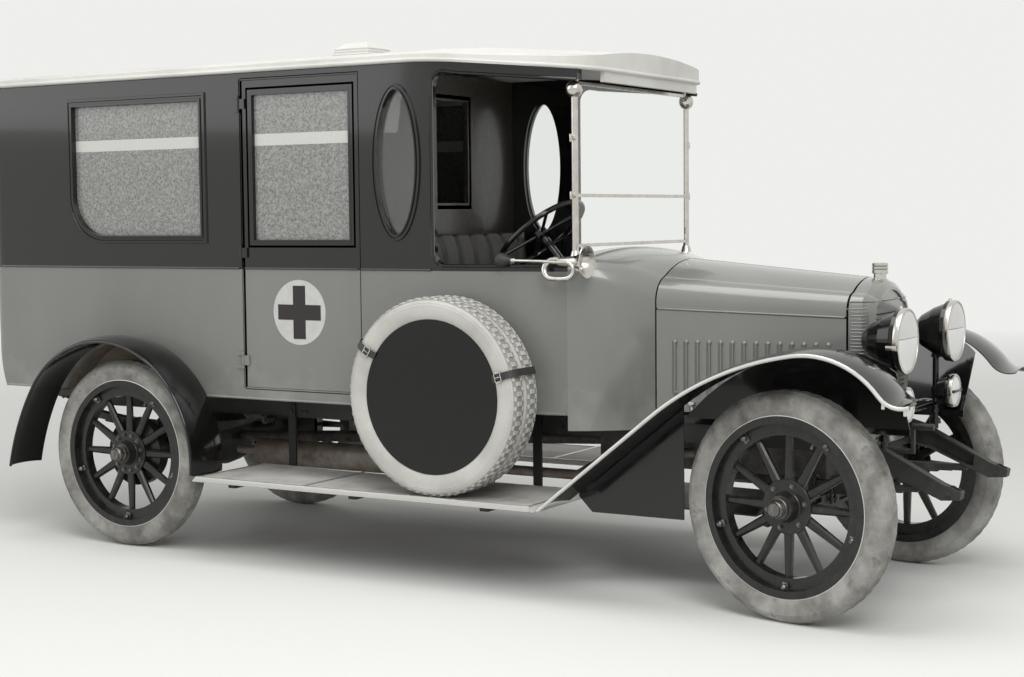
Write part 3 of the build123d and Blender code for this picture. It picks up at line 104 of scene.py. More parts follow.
# %% Helpers for finishes
class Finish:
    """A material with its node tree at hand."""

    def __init__(self, name, color, roughness, metallic=0.0, **sockets):
        self.material = bpy.data.materials.new(name)
        self.material.use_nodes = True
        self.tree = self.material.node_tree
        self.shader = self.tree.nodes["Principled BSDF"]
        self.shader.inputs["Base Color"].default_value = (*color, 1)
        self.shader.inputs["Roughness"].default_value = roughness
        self.shader.inputs["Metallic"].default_value = metallic
        for socket, value in sockets.items():
            self.shader.inputs[socket.replace("_", " ")].default_value = value
        self.place = self.add("ShaderNodeTexCoord").outputs["Object"]

    def add(self, kind, **settings):
        """A new node, with its settings."""
        node = self.tree.nodes.new(kind)
        for name, value in settings.items():
            setattr(node, name, value)
        return node

    def join(self, output, target):
        """A wire from an output to an input."""
        self.tree.links.new(output, target)

    def spread(self, scale):
        """The coordinates, stretched along the axes."""
        mapping = self.add("ShaderNodeMapping")
        mapping.inputs["Scale"].default_value = scale
        self.join(self.place, mapping.inputs["Vector"])
        return mapping.outputs["Vector"]

    def pattern(self, kind, scale, vector=None, **settings):
        """A pattern at some scale."""
        node = self.add(kind, **settings)
        node.inputs["Scale"].default_value = scale
        self.join(vector or self.place, node.inputs["Vector"])
        return node

    def noise(self, scale, detail=3, rough=0.55, vector=None):
        """Cloudy noise from 0 to 1."""
        node = self.pattern("ShaderNodeTexNoise", scale, vector)
        node.inputs["Detail"].default_value = detail
        node.inputs["Roughness"].default_value = rough
        return node.outputs["Fac"]

    def ramp(self, value, *stops):
        """Colours or greys along a value, each stop a position and a colour."""
        node = self.add("ShaderNodeValToRGB")
        points = node.color_ramp.elements
        while len(points) < len(stops):
            points.new(0.5)
        for point, (position, shade) in zip(points, stops):
            point.position = position
            shade = shade if isinstance(shade, tuple) else (shade, shade, shade)
            point.color = (*shade, 1)
        self.join(value, node.inputs["Fac"])
        return node.outputs["Color"]

    def math(self, operation, first, second=0.0):
        """One step of arithmetic on values or wires."""
        node = self.add("ShaderNodeMath", operation=operation)
        for value, target in zip((first, second), node.inputs):
            if isinstance(value, (int, float)):
                target.default_value = value
            else:
                self.join(value, target)
        return node.outputs[0]

    def mix(self, factor, first, second):
        """A blend of two colours or wires."""
        node = self.add("ShaderNodeMix", data_type="RGBA")
        for value, target in ((factor, 0), (first, 6), (second, 7)):
            if isinstance(value, tuple):
                node.inputs[target].default_value = (*value, 1)
            else:
                self.join(value, node.inputs[target])
        return node.outputs[2]

    def axis(self, name):
        """One coordinate as a value."""
        split = self.add("ShaderNodeSeparateXYZ")
        self.join(self.place, split.inputs[0])
        return split.outputs[name]

    def off(self, name, middle=0.0):
        """How far a point is from a place on one axis."""
        return self.math("ABSOLUTE", self.math("SUBTRACT", self.axis(name), middle))

    def all_of(self, *tests):
        """1 where every test gives 1."""
        passed = tests[0]
        for test in tests[1:]:
            passed = self.math("MULTIPLY", passed, test)
        return passed

    def between(self, value, low, high):
        """1 where a value lies between two limits."""
        return self.all_of(self.math("GREATER_THAN", value, low), self.math("LESS_THAN", value, high))

    def color(self, output):
        """The wire that gives the base colour."""
        self.join(output, self.shader.inputs["Base Color"])

    def rough(self, output):
        """The wire that gives the roughness."""
        self.join(output, self.shader.inputs["Roughness"])

    def bump(self, height, strength, distance=0.002):
        """Relief from a height."""
        node = self.add("ShaderNodeBump")
        node.inputs["Strength"].default_value = strength
        node.inputs["Distance"].default_value = distance
        self.join(height, node.inputs["Height"])
        self.join(node.outputs["Normal"], self.shader.inputs["Normal"])


# %% [markdown]
# ## Coach paint
#
# The body was brushed with many coats and rubbed down between them, so it is smooth and deep, with a faint
# waviness. Below the belt line it is grey, above it nearly black. Two separate paints would need the wall
# to be cut in two along the belt. Reading the height of each point and switching colour there keeps the
# wall in one piece, as the real panel is. A little road dust settles low down, and shows as a paler and
# duller tone. The same trick gives the load space its white lining: the shader asks whether a point lies
# between the walls.

# %% Grey and two-tone coach paint
GREY = (0.190, 0.193, 0.180)
NEAR_BLACK = (0.008, 0.0085, 0.008)
DUST = (0.36, 0.35, 0.32)
DUST_Z = (0.45, 1.0)
DUST_MOST = 0.5
DUST_DULLS = 0.6
PAINT_ROUGH = 0.30
BELT_Z = 1.315
BELT_EDGE = 0.004
BODY_BOTTOM = 0.722
LINING = (0.62, 0.615, 0.585)
LINING_X = (-2.362, -0.112)
LINING_Y = 0.612
LINING_LOW = 0.92


def dusted(finish, clean):
    """Road dust over a colour, thick at one height and gone at another."""
    rise = finish.math("SUBTRACT", finish.axis("Z"), DUST_Z[0])
    clear = finish.math("DIVIDE", rise, DUST_Z[1] - DUST_Z[0])
    amount = finish.math("SUBTRACT", finish.math("MULTIPLY", finish.noise(7, 5), 1.3), clear)
    amount = finish.math("MAXIMUM", finish.math("MINIMUM", amount, DUST_MOST), 0.0)
    return finish.mix(amount, clean, DUST), amount


def grey_tone(finish):
    """Grey with the slow drift of brushed paint."""
    drift = finish.noise(2.2, 4, vector=finish.spread((1, 1, 0.35)))
    return finish.ramp(drift, (0.3, tuple(0.92 * c for c in GREY)), (0.7, tuple(1.08 * c for c in GREY)))


grey_paint = Finish("grey_coach_paint", GREY, 0.34, Coat_Weight=1.0, Coat_Roughness=0.10)
tone, dust = dusted(grey_paint, grey_tone(grey_paint))
grey_paint.color(tone)
grey_paint.rough(grey_paint.math("ADD", grey_paint.math("MULTIPLY", dust, DUST_DULLS), PAINT_ROUGH))
grey_paint.bump(grey_paint.noise(38, 2), 0.05)

two_tone = Finish("two_tone_coach_paint", GREY, PAINT_ROUGH, Coat_Weight=0.45, Coat_Roughness=0.05,
                  Specular_IOR_Level=0.35)
upper = two_tone.math("GREATER_THAN", two_tone.axis("Z"), BELT_Z - BELT_EDGE)
tone, dust = dusted(two_tone, grey_tone(two_tone))
inside = two_tone.all_of(two_tone.math("LESS_THAN", two_tone.off("Y"), LINING_Y),
                         two_tone.between(two_tone.axis("X"), *LINING_X),
                         two_tone.math("GREATER_THAN", two_tone.axis("Z"), LINING_LOW))
two_tone.color(two_tone.mix(inside, two_tone.mix(upper, tone, NEAR_BLACK), LINING))
dull = two_tone.math("ADD", two_tone.math("MULTIPLY", dust, DUST_DULLS), PAINT_ROUGH)
two_tone.rough(two_tone.math("SUBTRACT", dull, two_tone.math("MULTIPLY", upper, 0.19)))
two_tone.bump(two_tone.noise(9, 2), 0.035, 0.004)
print("belt line at", BELT_Z, "m")

# %% [markdown]
# ## Enamel, chassis black and roof paint
#
# Fenders and lamps have hard, glossy stove enamel. The chassis has a duller black that collects dust and
# oil. The roof is painted canvas stretched over boards, which shows a fine weave and never shines. The
# weave is two crossed sets of fine waves used as relief.

# %% Black finishes and the roof
enamel = Finish("black_enamel", (0.006, 0.006, 0.006), 0.12, Coat_Weight=0.3, Coat_Roughness=0.04,
                Specular_IOR_Level=0.35)
enamel.rough(enamel.ramp(enamel.noise(6, 4), (0.35, 0.10), (0.7, 0.20)))

disc_black = Finish("black_disc", (0.007, 0.007, 0.007), 0.22, Specular_IOR_Level=0.35)
disc_black.bump(disc_black.noise(14, 3), 0.03, 0.003)

chassis = Finish("chassis_black", (0.02, 0.02, 0.019), 0.5)
grime = chassis.noise(11, 6, 0.65)
chassis.color(chassis.ramp(grime, (0.35, (0.014, 0.014, 0.013)), (0.62, (0.035, 0.034, 0.031)),
                           (0.8, (0.10, 0.095, 0.085))))
chassis.rough(chassis.ramp(grime, (0.3, 0.35), (0.75, 0.75)))
chassis.bump(chassis.noise(60, 3), 0.15)

wheel_paint = Finish("wheel_paint", (0.016, 0.0155, 0.015), 0.25, Coat_Weight=0.25, Coat_Roughness=0.08,
                     Specular_IOR_Level=0.3)
grime = wheel_paint.noise(17, 6, 0.65)
wheel_paint.color(wheel_paint.ramp(grime, (0.35, (0.010, 0.0097, 0.0093)), (0.62, (0.020, 0.0192, 0.018)),
                                   (0.80, (0.060, 0.056, 0.050))))
wheel_paint.rough(wheel_paint.ramp(grime, (0.35, 0.20), (0.75, 0.55)))

ROOF_WHITE = (0.66, 0.655, 0.62)
THREADS = 180
roof_paint = Finish("roof_white", ROOF_WHITE, 0.55)
stain = roof_paint.noise(1.8, 6, 0.6)
roof_paint.color(roof_paint.ramp(stain, (0.28, (0.52, 0.51, 0.47)), (0.5, ROOF_WHITE),
                                 (0.8, (0.72, 0.715, 0.68))))
weave = [roof_paint.pattern("ShaderNodeTexWave", THREADS, bands_direction=way).outputs["Fac"] for way in "XY"]
roof_paint.bump(roof_paint.math("MULTIPLY", *weave), 0.25, 0.0006)
print("black and white finishes ready")

# %% [markdown]
# ## Metals
#
# Nickel plate is warmer and softer than chrome, and handling leaves it slightly uneven, so its roughness
# varies with a noise. Iron and the exhaust are darker, rougher metals with rust and soot, made by a ramp
# between their tones. The small metal parts of the wheels are plain steel, dulled by the road.

# %% Nickel, iron and the exhaust
nickel = Finish("nickel", (0.62, 0.60, 0.56), 0.2, 1.0)
wear = nickel.noise(23, 5)
nickel.rough(nickel.ramp(wear, (0.3, 0.14), (0.7, 0.30)))
nickel.color(nickel.ramp(wear, (0.3, (0.66, 0.64, 0.60)), (0.75, (0.50, 0.48, 0.44))))

edge_metal = Finish("edge_metal", (0.60, 0.595, 0.57), 0.38, 0.85)
edge_metal.rough(edge_metal.ramp(edge_metal.noise(18, 5), (0.3, 0.30), (0.7, 0.50)))

wheel_metal = Finish("wheel_metal", (0.15, 0.145, 0.135), 0.35, 0.75)
tarnish = wheel_metal.noise(40, 4)
wheel_metal.color(wheel_metal.ramp(tarnish, (0.35, (0.09, 0.086, 0.08)), (0.7, (0.24, 0.23, 0.215))))

iron = Finish("oily_iron", (0.12, 0.115, 0.11), 0.55, 0.6)
scale_tone = iron.noise(15, 6, 0.65)
iron.color(iron.ramp(scale_tone, (0.35, (0.07, 0.067, 0.063)), (0.7, (0.19, 0.175, 0.16))))
iron.bump(iron.noise(90, 4), 0.3)

exhaust = Finish("exhaust_steel", (0.25, 0.22, 0.19), 0.6, 0.5)
soot = exhaust.noise(9, 6, 0.65)
exhaust.color(exhaust.ramp(soot, (0.3, (0.33, 0.31, 0.28)), (0.55, (0.20, 0.16, 0.13)),
                           (0.75, (0.08, 0.07, 0.06))))
exhaust.bump(exhaust.noise(70, 4), 0.3)
print("metal finishes ready")

# %% [markdown]
# ## Rubber
#
# Tyres of the time were made of pale rubber without much carbon black. On the road they turn mottled: grey
# where dust sticks, dark where the wet or oil has been. The two spares are new and almost white, and the
# grooves of their tread are painted darker, a painted shade in the recesses. A point lies in a groove when
# its distance from the axle is less than that of the blocks' tops, which falls off towards the shoulders, so
# the shader can find the grooves by that distance.

# %% Used and new tyre rubber
road_rubber = Finish("road_rubber", (0.25, 0.245, 0.23), 0.85)
blotch = road_rubber.noise(6.5, 7, 0.62)
stain = road_rubber.noise(19, 5, 0.6)
pale = road_rubber.ramp(blotch, (0.30, (0.10, 0.097, 0.09)), (0.44, (0.20, 0.196, 0.18)),
                        (0.57, (0.31, 0.306, 0.287)), (0.72, (0.44, 0.435, 0.41)))
spots = road_rubber.ramp(stain, (0.60, 0.0), (0.74, 0.65))
road_rubber.color(road_rubber.mix(spots, pale, (0.085, 0.078, 0.068)))
road_rubber.bump(road_rubber.noise(120, 4), 0.35, 0.001)

SPARE_X, SPARE_Z = 0.350, 0.800
SPARE_Y = (-0.698, -0.800)
TREAD_HALF = 0.0375
TREAD_LOW, TREAD_TOP = 0.395, 0.4113
SHOULDER, SHOULDER_FALL = 0.020, 0.53

new_rubber = Finish("white_rubber", (0.50, 0.49, 0.465), 0.7)
cloud = new_rubber.noise(5, 5)
clean = new_rubber.ramp(cloud, (0.32, (0.42, 0.412, 0.385)), (0.60, (0.54, 0.53, 0.50)))
legs = [new_rubber.off("X", SPARE_X), new_rubber.off("Z", SPARE_Z)]
squares = [new_rubber.math("MULTIPLY", leg, leg) for leg in legs]
reach = new_rubber.math("SQRT", new_rubber.math("ADD", *squares))
across = new_rubber.math("MINIMUM", *[new_rubber.off("Y", y) for y in SPARE_Y])
past = new_rubber.math("MAXIMUM", new_rubber.math("SUBTRACT", across, SHOULDER), 0.0)
top = new_rubber.math("SUBTRACT", TREAD_TOP, new_rubber.math("MULTIPLY", past, SHOULDER_FALL))
# Painted shade: the grooves of the spares' tread get a darker colour than the blocks.
painted_groove_shade = new_rubber.all_of(new_rubber.math("LESS_THAN", reach, top),
                           new_rubber.math("GREATER_THAN", reach, TREAD_LOW),
                           new_rubber.math("LESS_THAN", across, TREAD_HALF))
new_rubber.color(new_rubber.mix(painted_groove_shade, clean, (0.28, 0.274, 0.256)))
new_rubber.bump(new_rubber.noise(140, 3), 0.2, 0.0008)

bulb_rubber = Finish("black_rubber", (0.018, 0.018, 0.018), 0.55)
bulb_rubber.bump(bulb_rubber.noise(120, 3), 0.2, 0.0008)
print("rubber finishes ready")

# %% [markdown]
# ## Glass
#
# The windscreen and the oval windows are clear. The windows of the load space are obscured, so that nobody
# looks in: a mottled, rolled glass with one lighter band across it. A real pane is transparent and rough,
# which needs many light paths to render cleanly. A solid, satin surface with a mottled relief looks the
# same from outside and stays free of grain.

# %% Clear and obscured glass
clear_glass = Finish("clear_glass", (0.95, 0.97, 0.96), 0.0, Transmission_Weight=1.0, IOR=1.45)

BAND_Z = (1.862, 1.914)
BAND_SHARE = 0.85
obscured = Finish("obscured_glass", (0.25, 0.25, 0.24), 0.35, Coat_Weight=0.5, Coat_Roughness=0.1)
cells = obscured.pattern("ShaderNodeTexVoronoi", 115, feature="SMOOTH_F1").outputs["Distance"]
mottle = obscured.math("ADD", obscured.math("MULTIPLY", cells, 0.8),
                       obscured.math("MULTIPLY", obscured.noise(64, 4, 0.7), 0.6))
glass_tone = obscured.ramp(mottle, (0.38, (0.10, 0.10, 0.095)), (0.58, (0.19, 0.19, 0.182)),
                           (0.85, (0.28, 0.28, 0.27)))
in_band = obscured.math("MULTIPLY", obscured.between(obscured.axis("Z"), *BAND_Z), BAND_SHARE)
obscured.color(obscured.mix(in_band, glass_tone, (0.60, 0.60, 0.575)))
obscured.bump(mottle, 0.35, 0.0015)

LENS_LINE_Z = 1.061
LENS_LINE_HALF = 0.0018
lens_glass = Finish("lens_glass", (0.70, 0.70, 0.68), 0.25, Coat_Weight=0.6, Coat_Roughness=0.05)
line = lens_glass.math("LESS_THAN", lens_glass.off("Z", LENS_LINE_Z), LENS_LINE_HALF)
# Painted shade: above the level line the lenses are a greyer colour than below it.
upper = lens_glass.math("GREATER_THAN", lens_glass.axis("Z"), LENS_LINE_Z)
shade = lens_glass.mix(upper, (0.76, 0.76, 0.74), (0.60, 0.60, 0.58))
lens_glass.color(lens_glass.mix(line, shade, (0.20, 0.20, 0.19)))
print("glass finishes ready, light band at", BAND_Z, "m")

# %% [markdown]
# ## Wood, leather and coverings
#
# The running boards have a pale ribbed covering held by metal edging, over black iron brackets that belong
# to the same part. The floor is plain board, the cab is lined with dark varnished wood, and the seat is
# black leather. Wood grain is noise stretched far along the board, and leather grain is a fine cell pattern
# used as relief only.

# %% Boards, wood and leather
COVER_LOW = 0.3640
COVER_INNER = 0.3750
board_cover = Finish("board_cover", (0.50, 0.49, 0.46), 0.6)
scuff = board_cover.noise(5, 6, 0.65)
worn = board_cover.ramp(scuff, (0.30, (0.33, 0.32, 0.295)), (0.50, (0.50, 0.49, 0.46)),
                        (0.75, (0.60, 0.59, 0.56)))
below = board_cover.math("LESS_THAN", board_cover.axis("Z"), COVER_LOW)
near_frame = board_cover.math("LESS_THAN", board_cover.off("Y"), COVER_INNER)
bracket = board_cover.math("MAXIMUM", below, near_frame)
board_cover.color(board_cover.mix(bracket, worn, (0.02, 0.02, 0.019)))
ribs = board_cover.pattern("ShaderNodeTexWave", 22, bands_direction="Y")
board_cover.bump(ribs.outputs["Fac"], 0.5, 0.002)


def wood(name, dark, light, roughness, coat):
    """Boards that run along X."""
    finish = Finish(name, light, roughness, Coat_Weight=coat, Coat_Roughness=0.15)
    grain = finish.noise(16, 8, 0.7, finish.spread((0.12, 2.2, 2.2)))
    finish.color(finish.ramp(grain, (0.32, dark), (0.68, light)))
    finish.bump(grain, 0.12, 0.001)
    return finish


floor_wood = wood("floor_boards", (0.12, 0.10, 0.08), (0.27, 0.23, 0.18), 0.7, 0.0)
inner_wood = wood("varnished_wood", (0.022, 0.018, 0.014), (0.06, 0.048, 0.037), 0.35, 0.4)

leather = Finish("black_leather", (0.025, 0.023, 0.021), 0.42)
crease = leather.noise(6, 5)
leather.color(leather.ramp(crease, (0.3, (0.016, 0.015, 0.014)), (0.7, (0.042, 0.039, 0.036))))
leather.rough(leather.ramp(crease, (0.3, 0.34), (0.75, 0.58)))
grain = leather.pattern("ShaderNodeTexVoronoi", 260, feature="DISTANCE_TO_EDGE")
leather.bump(grain.outputs["Distance"], 0.35, 0.0006)

plain_white = Finish("white_paint", (0.53, 0.53, 0.51), 0.4)
plain_white.color(plain_white.ramp(plain_white.noise(30, 4), (0.3, (0.49, 0.49, 0.47)),
                                   (0.7, (0.56, 0.56, 0.54))))
cross_black = Finish("cross_black", (0.013, 0.009, 0.009), 0.4)
cross_black.bump(cross_black.noise(60, 2), 0.05)
print("coverings ready")

# %% [markdown]
# ## Dressing the ready-made parts
#
# Most of the vehicle's real shapes are in the construction already. Their meshes stay as they are, and each
# one only gets its finish. A table from part to finish keeps this in one place. A part takes the longest
# key that its name starts with, and a part that the table forgets stops the script.

# %% A finish for every part
FINISH_OF = {
    "front_wheel": wheel_paint, "rear_wheel": wheel_paint, "front_tyre": road_rubber,
    "rear_tyre": road_rubber, "front_axle": chassis, "knuckle": chassis, "tie_rod": chassis,
    "frame_rails": chassis, "crossmembers": chassis, "springs": chassis, "rear_axle": chassis,
    "transmission": iron, "engine_block": iron, "undertray": chassis, "exhaust": exhaust,
    "scuttle": grey_paint, "bonnet": grey_paint, "radiator_shell": grey_paint,
    "radiator_core": grey_paint, "side_wall": two_tone, "cab_door": grey_paint,
    "side_door": two_tone, "side_door_glass": obscured, "side_glass": obscured, "rear_frame": two_tone,
    "rear_door": two_tone, "rear_door_glass": obscured, "body_floor": floor_wood, "roof": roof_paint,
    "partition": inner_wood, "seat_base": inner_wood, "front_seat": leather, "bulkhead": inner_wood,
    "steering_column": enamel, "steering_wheel": enamel, "windscreen_frame": nickel,
    "windscreen_glass": clear_glass, "rear_fenders": enamel, "front_fenders": enamel,
    "running_boards": board_cover, "spare_tyres": new_rubber, "spare_carrier": disc_black,
    "headlamps": enamel, "side_lamps": enamel, "horn": nickel,
}
for name, node in nodes.items():
    key = max((k for k in FINISH_OF if name.startswith(k)), key=len)
    for place in node.material_slots:
        place.material = FINISH_OF[key].material
print("dressed", len(nodes), "parts with", len(set(f.material.name for f in FINISH_OF.values())), "finishes")

# %% [markdown]
# ## Studio
#
# The vehicle stands on a wide pale floor. Near the wheels the floor is a plain matt surface that takes
# their shadow. Far away it turns into the same pale tone as the background, so that no horizon cuts across
# the picture. The world is bright where the camera, a mirror or a pane looks at it, and gentler where it
# lights the object, because otherwise white paint would lose all its shape. Three large soft lamps give the
# light a direction: one from the front right, a weaker one from behind, and one from above for bonnet and
# roof.

# %% Floor, background and lamps
BACKDROP = (0.86, 0.86, 0.84)
AMBIENT = 0.52
FLOOR_R = 60
FADE = {"From Min": 4.5, "From Max": 16}

floor_finish = Finish("studio_floor", (0.80, 0.80, 0.78), 0.9)
radius = floor_finish.add("ShaderNodeVectorMath", operation="LENGTH")
floor_finish.join(floor_finish.place, radius.inputs[0])
fade = floor_finish.add("ShaderNodeMapRange")
for socket, value in FADE.items():
    fade.inputs[socket].default_value = value
floor_finish.join(radius.outputs["Value"], fade.inputs["Value"])
glow = floor_finish.add("ShaderNodeEmission")
glow.inputs["Color"].default_value = (*BACKDROP, 1)
blend = floor_finish.add("ShaderNodeMixShader")
blended = (fade.outputs["Result"], floor_finish.shader.outputs[0], glow.outputs[0])
for wire, target in zip(blended, blend.inputs):
    floor_finish.join(wire, target)
floor_finish.join(blend.outputs[0], floor_finish.tree.nodes["Material Output"].inputs["Surface"])

bm = bmesh.new()
bmesh.ops.create_circle(bm, cap_ends=True, radius=FLOOR_R, segments=96)
floor_mesh = bpy.data.meshes.new("studio_floor")
bm.to_mesh(floor_mesh)
bm.free()
floor_mesh.materials.append(floor_finish.material)
studio_floor = bpy.data.objects.new("studio_floor", floor_mesh)
scene.collection.objects.link(studio_floor)

world = bpy.data.worlds.new("studio")
world.use_nodes = True
scene.world = world
tree = world.node_tree
background = tree.nodes["Background"]
background.inputs["Color"].default_value = (*BACKDROP, 1)
light_path = tree.nodes.new("ShaderNodeLightPath")
seen = light_path.outputs["Is Camera Ray"]
for ray in ("Is Glossy Ray", "Is Transmission Ray"):
    most = tree.nodes.new("ShaderNodeMath")
    most.operation = "MAXIMUM"
    tree.links.new(seen, most.inputs[0])
    tree.links.new(light_path.outputs[ray], most.inputs[1])
    seen = most.outputs[0]
strength = tree.nodes.new("ShaderNodeMapRange")
strength.inputs["To Min"].default_value = AMBIENT
strength.inputs["To Max"].default_value = 1.0
tree.links.new(seen, strength.inputs["Value"])
tree.links.new(strength.outputs["Result"], background.inputs["Strength"])

LAMPS = {
    "key": {"place": (5.5, -6.0, 7.0), "size": 5.0, "watts": 420},
    "fill": {"place": (-6.0, -5.0, 5.0), "size": 6.0, "watts": 150},
    "top": {"place": (1.0, -1.5, 8.0), "size": 5.0, "watts": 260},
}
LAMP_TARGET = Vector((0, 0, 1))
for name, spec in LAMPS.items():
    lamp = bpy.data.objects.new(name, bpy.data.lights.new(name, "AREA"))
    scene.collection.objects.link(lamp)
    lamp.data.size = spec["size"]
    lamp.data.energy = spec["watts"]
    place = Vector(spec["place"])
    turn = (place - LAMP_TARGET).to_track_quat("Z", "Y").to_matrix().to_4x4()
    lamp.matrix_world = Matrix.Translation(place) @ turn
print("studio ready, lamps:", ", ".join(LAMPS))

# %% [markdown]
# ## Modelling tools
#
# Every new piece starts as an empty bmesh and ends as one object that rides on a body. Between the two, a
# few shapes come back all the time: a turned shape, a round bar, a bevelled block, a tube along a line and
# a stepped moulding. Each one is a short helper made of bmesh operators. A spin turns an outline round an
# axis, which suits anything from a tyre to a lamp rim, and use_merge joins its last step to the first, so
# no seam is left. Edges are gathered in a dict and not in a set, because a set has no fixed order, and each
# run of the script should make the same mesh.

# %% Helpers for pieces
WELD = 0.00001
TO_X = Matrix.Rotation(math.radians(-90), 4, "Z")
TO_Z = Matrix.Rotation(math.radians(90), 4, "X")


def finished(bm, name, finish, body, crease=32):
    """Turns a bmesh into a piece with its finish, on its body."""
    bmesh.ops.remove_doubles(bm, verts=bm.verts, dist=WELD)
    bmesh.ops.recalc_face_normals(bm, faces=bm.faces)
    mesh = bpy.data.meshes.new(name)
    bm.to_mesh(mesh)
    bm.free()
    mesh.shade_smooth()
    mesh.set_sharp_from_angle(angle=math.radians(crease))
    mesh.materials.append(finish.material)
    piece = bpy.data.objects.new(name, mesh)
    scene.collection.objects.link(piece)
    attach(piece, body)
    print(name, len(mesh.polygons), "faces")
    return piece


def angles(first, last, step):
    """Angles in radians from whole degrees, up to the last one but without it."""
    return [math.radians(degree) for degree in range(first, last, step)]


def turned(bm, outline, steps=64, place=Matrix()):
    """Spins a closed outline of (radius, distance along Y) pairs about the Y axis, then moves it."""
    before = set(bm.verts)
    verts = [bm.verts.new((r, y, 0)) for r, y in outline]
    edges = [bm.edges.new(pair) for pair in zip(verts, verts[1:] + verts[:1])]
    bmesh.ops.spin(bm, geom=verts + edges, cent=(0, 0, 0), axis=(0, 1, 0), angle=2 * math.pi, steps=steps,
                   use_merge=True)
    bmesh.ops.transform(bm, matrix=place, verts=[v for v in bm.verts if v not in before])


def stand(at, along):
    """The matrix that puts a shape's Z axis along a direction at a point."""
    turn = Vector((0, 0, 1)).rotation_difference(Vector(along)).to_matrix().to_4x4()
    return Matrix.Translation(Vector(at)) @ turn


def bar(bm, start, end, radius, tip=None, sides=16):
    """A round bar between two points, or a cone with its own radius at the tip."""
    start, end = Vector(start), Vector(end)
    run = end - start
    bmesh.ops.create_cone(bm, cap_ends=True, segments=sides, radius1=radius,
                          radius2=radius if tip is None else tip, depth=run.length,
                          matrix=stand((start + end) / 2, run))


def slab(bm, low, high, bevel, segments=2, place=Matrix()):
    """A block between two corners, with rounded edges, moved by a matrix."""
    low, high = Vector(low), Vector(high)
    size = Matrix.Diagonal((*(high - low), 1))
    made = bmesh.ops.create_cube(bm, size=1, matrix=place @ Matrix.Translation((low + high) / 2) @ size)
    edges = list(dict.fromkeys(edge for vert in made["verts"] for edge in vert.link_edges))
    bmesh.ops.bevel(bm, geom=edges, offset=bevel, segments=segments, profile=0.5, affect="EDGES", material=-1)


def tube(bm, points, radius, sides=10, closed=False):
    """A round tube: a circle is extruded from point to point. radius may be a list, one for each point."""
    points = [Vector(p) for p in points]
    count = len(points)
    radii = radius if isinstance(radius, list) else [radius] * count
    ahead = []
    for n in range(count):
        before = points[(n - 1) % count] if closed or n else points[0]
        after = points[(n + 1) % count] if closed or n < count - 1 else points[-1]
        ahead.append((after - before).normalized())
    ring = bmesh.ops.create_circle(bm, cap_ends=not closed, radius=radii[0], segments=sides,
                                   matrix=stand(points[0], ahead[0]))["verts"]
    edges = list(dict.fromkeys(e for v in ring for e in v.link_edges if all(end in ring for end in e.verts)))
    first = list(edges)
    for n in range(1, count):
        made = bmesh.ops.extrude_edge_only(bm, edges=edges)["geom"]
        verts = [g for g in made if isinstance(g, bmesh.types.BMVert)]
        edges = [g for g in made if isinstance(g, bmesh.types.BMEdge) and all(v in verts for v in g.verts)]
        step = ahead[n - 1].rotation_difference(ahead[n]).to_matrix().to_4x4()
        grow = Matrix.Scale(radii[n] / radii[n - 1], 4)
        move = Matrix.Translation(points[n]) @ step @ grow @ Matrix.Translation(-points[n - 1])
        bmesh.ops.transform(bm, matrix=move, verts=verts)
    if closed:
        bmesh.ops.bridge_loops(bm, edges=first + edges)
    else:
        bmesh.ops.contextual_create(bm, geom=edges)


def step_in(bm, face, steps):
    """Insets a face by each (width, rise), cuts out its middle and closes the back."""
    rim = list(face.edges)
    for width, rise in steps:
        bmesh.ops.inset_region(bm, faces=[face], thickness=width, depth=rise, use_boundary=True,
                               use_even_offset=True)
    inner = list(face.edges)
    bmesh.ops.delete(bm, geom=[face], context="FACES_ONLY")
    bmesh.ops.bridge_loops(bm, edges=rim + inner)


def moulding(bm, outline, steps, rounds=()):
    """A stepped moulding on an outline that faces outwards. rounds gives (corner number, radius) pairs."""
    verts = [bm.verts.new(p) for p in outline]
    face = bm.faces.new(verts)
    for corner, size in rounds:
        made = bmesh.ops.bevel(bm, geom=[verts[corner]], offset=size, segments=10, profile=0.5,
                               affect="VERTICES", material=-1)
        face = next(f for v in made["verts"] for f in v.link_faces)
    step_in(bm, face, steps)


print("modelling tools ready")

# %% [markdown]
# ## Road tyres
#
# A high-pressure tyre of this time is narrow and nearly round in section, with a bead that grips the rim
# and a tread of blocks. The tyre could be a torus, but its section isn't a circle. Here a half section is
# turned about the axle, and then some faces of the tread are lifted one by one, every second one along the
# ring, which leaves the gaps between the blocks as they are moulded in real rubber.

# %% Tyres with block tread
STEER_REST = -10
ROAD_STEPS = 112
ROAD_HALF = [(0.3405, 0.034), (0.3405, 0.042), (0.348, 0.049), (0.366, 0.0565), (0.388, 0.0600),
             (0.402, 0.0590), (0.4035, 0.0600), (0.408, 0.0590), (0.4195, 0.0530), (0.429, 0.0430),
             (0.4350, 0.0300), (0.4370, 0.0285), (0.4383, 0.0120), (0.4370, 0.0110)]
ROAD_BLOCKS = [{"columns": [(0.013, 0.028, 0), (-0.028, -0.013, 1), (-0.010, 0.010, 0)], "tall": 0.0018,
                "gap": 0.0016}]


def outward(point):
    """The direction from the Y axis to a point."""
    return Vector((point.x, 0, point.z)).normalized()


def raise_blocks(bm, columns, tall, gap):
    """Raises every second face in each column of the tread, a column being (low, high, shift) along Y."""
    for low, high, shift in columns:
        found = []
        for face in bm.faces:
            middle = face.calc_center_median()
            if low < middle.y < high and face.normal.dot(outward(middle)) > 0.5:
                found.append((math.atan2(middle.z, middle.x), face))
        found.sort(key=lambda pair: pair[0])
        chosen = [face for n, (angle, face) in enumerate(found) if (n + shift) % 2]
        bmesh.ops.inset_individual(bm, faces=chosen, thickness=gap, depth=tall, use_even_offset=True)


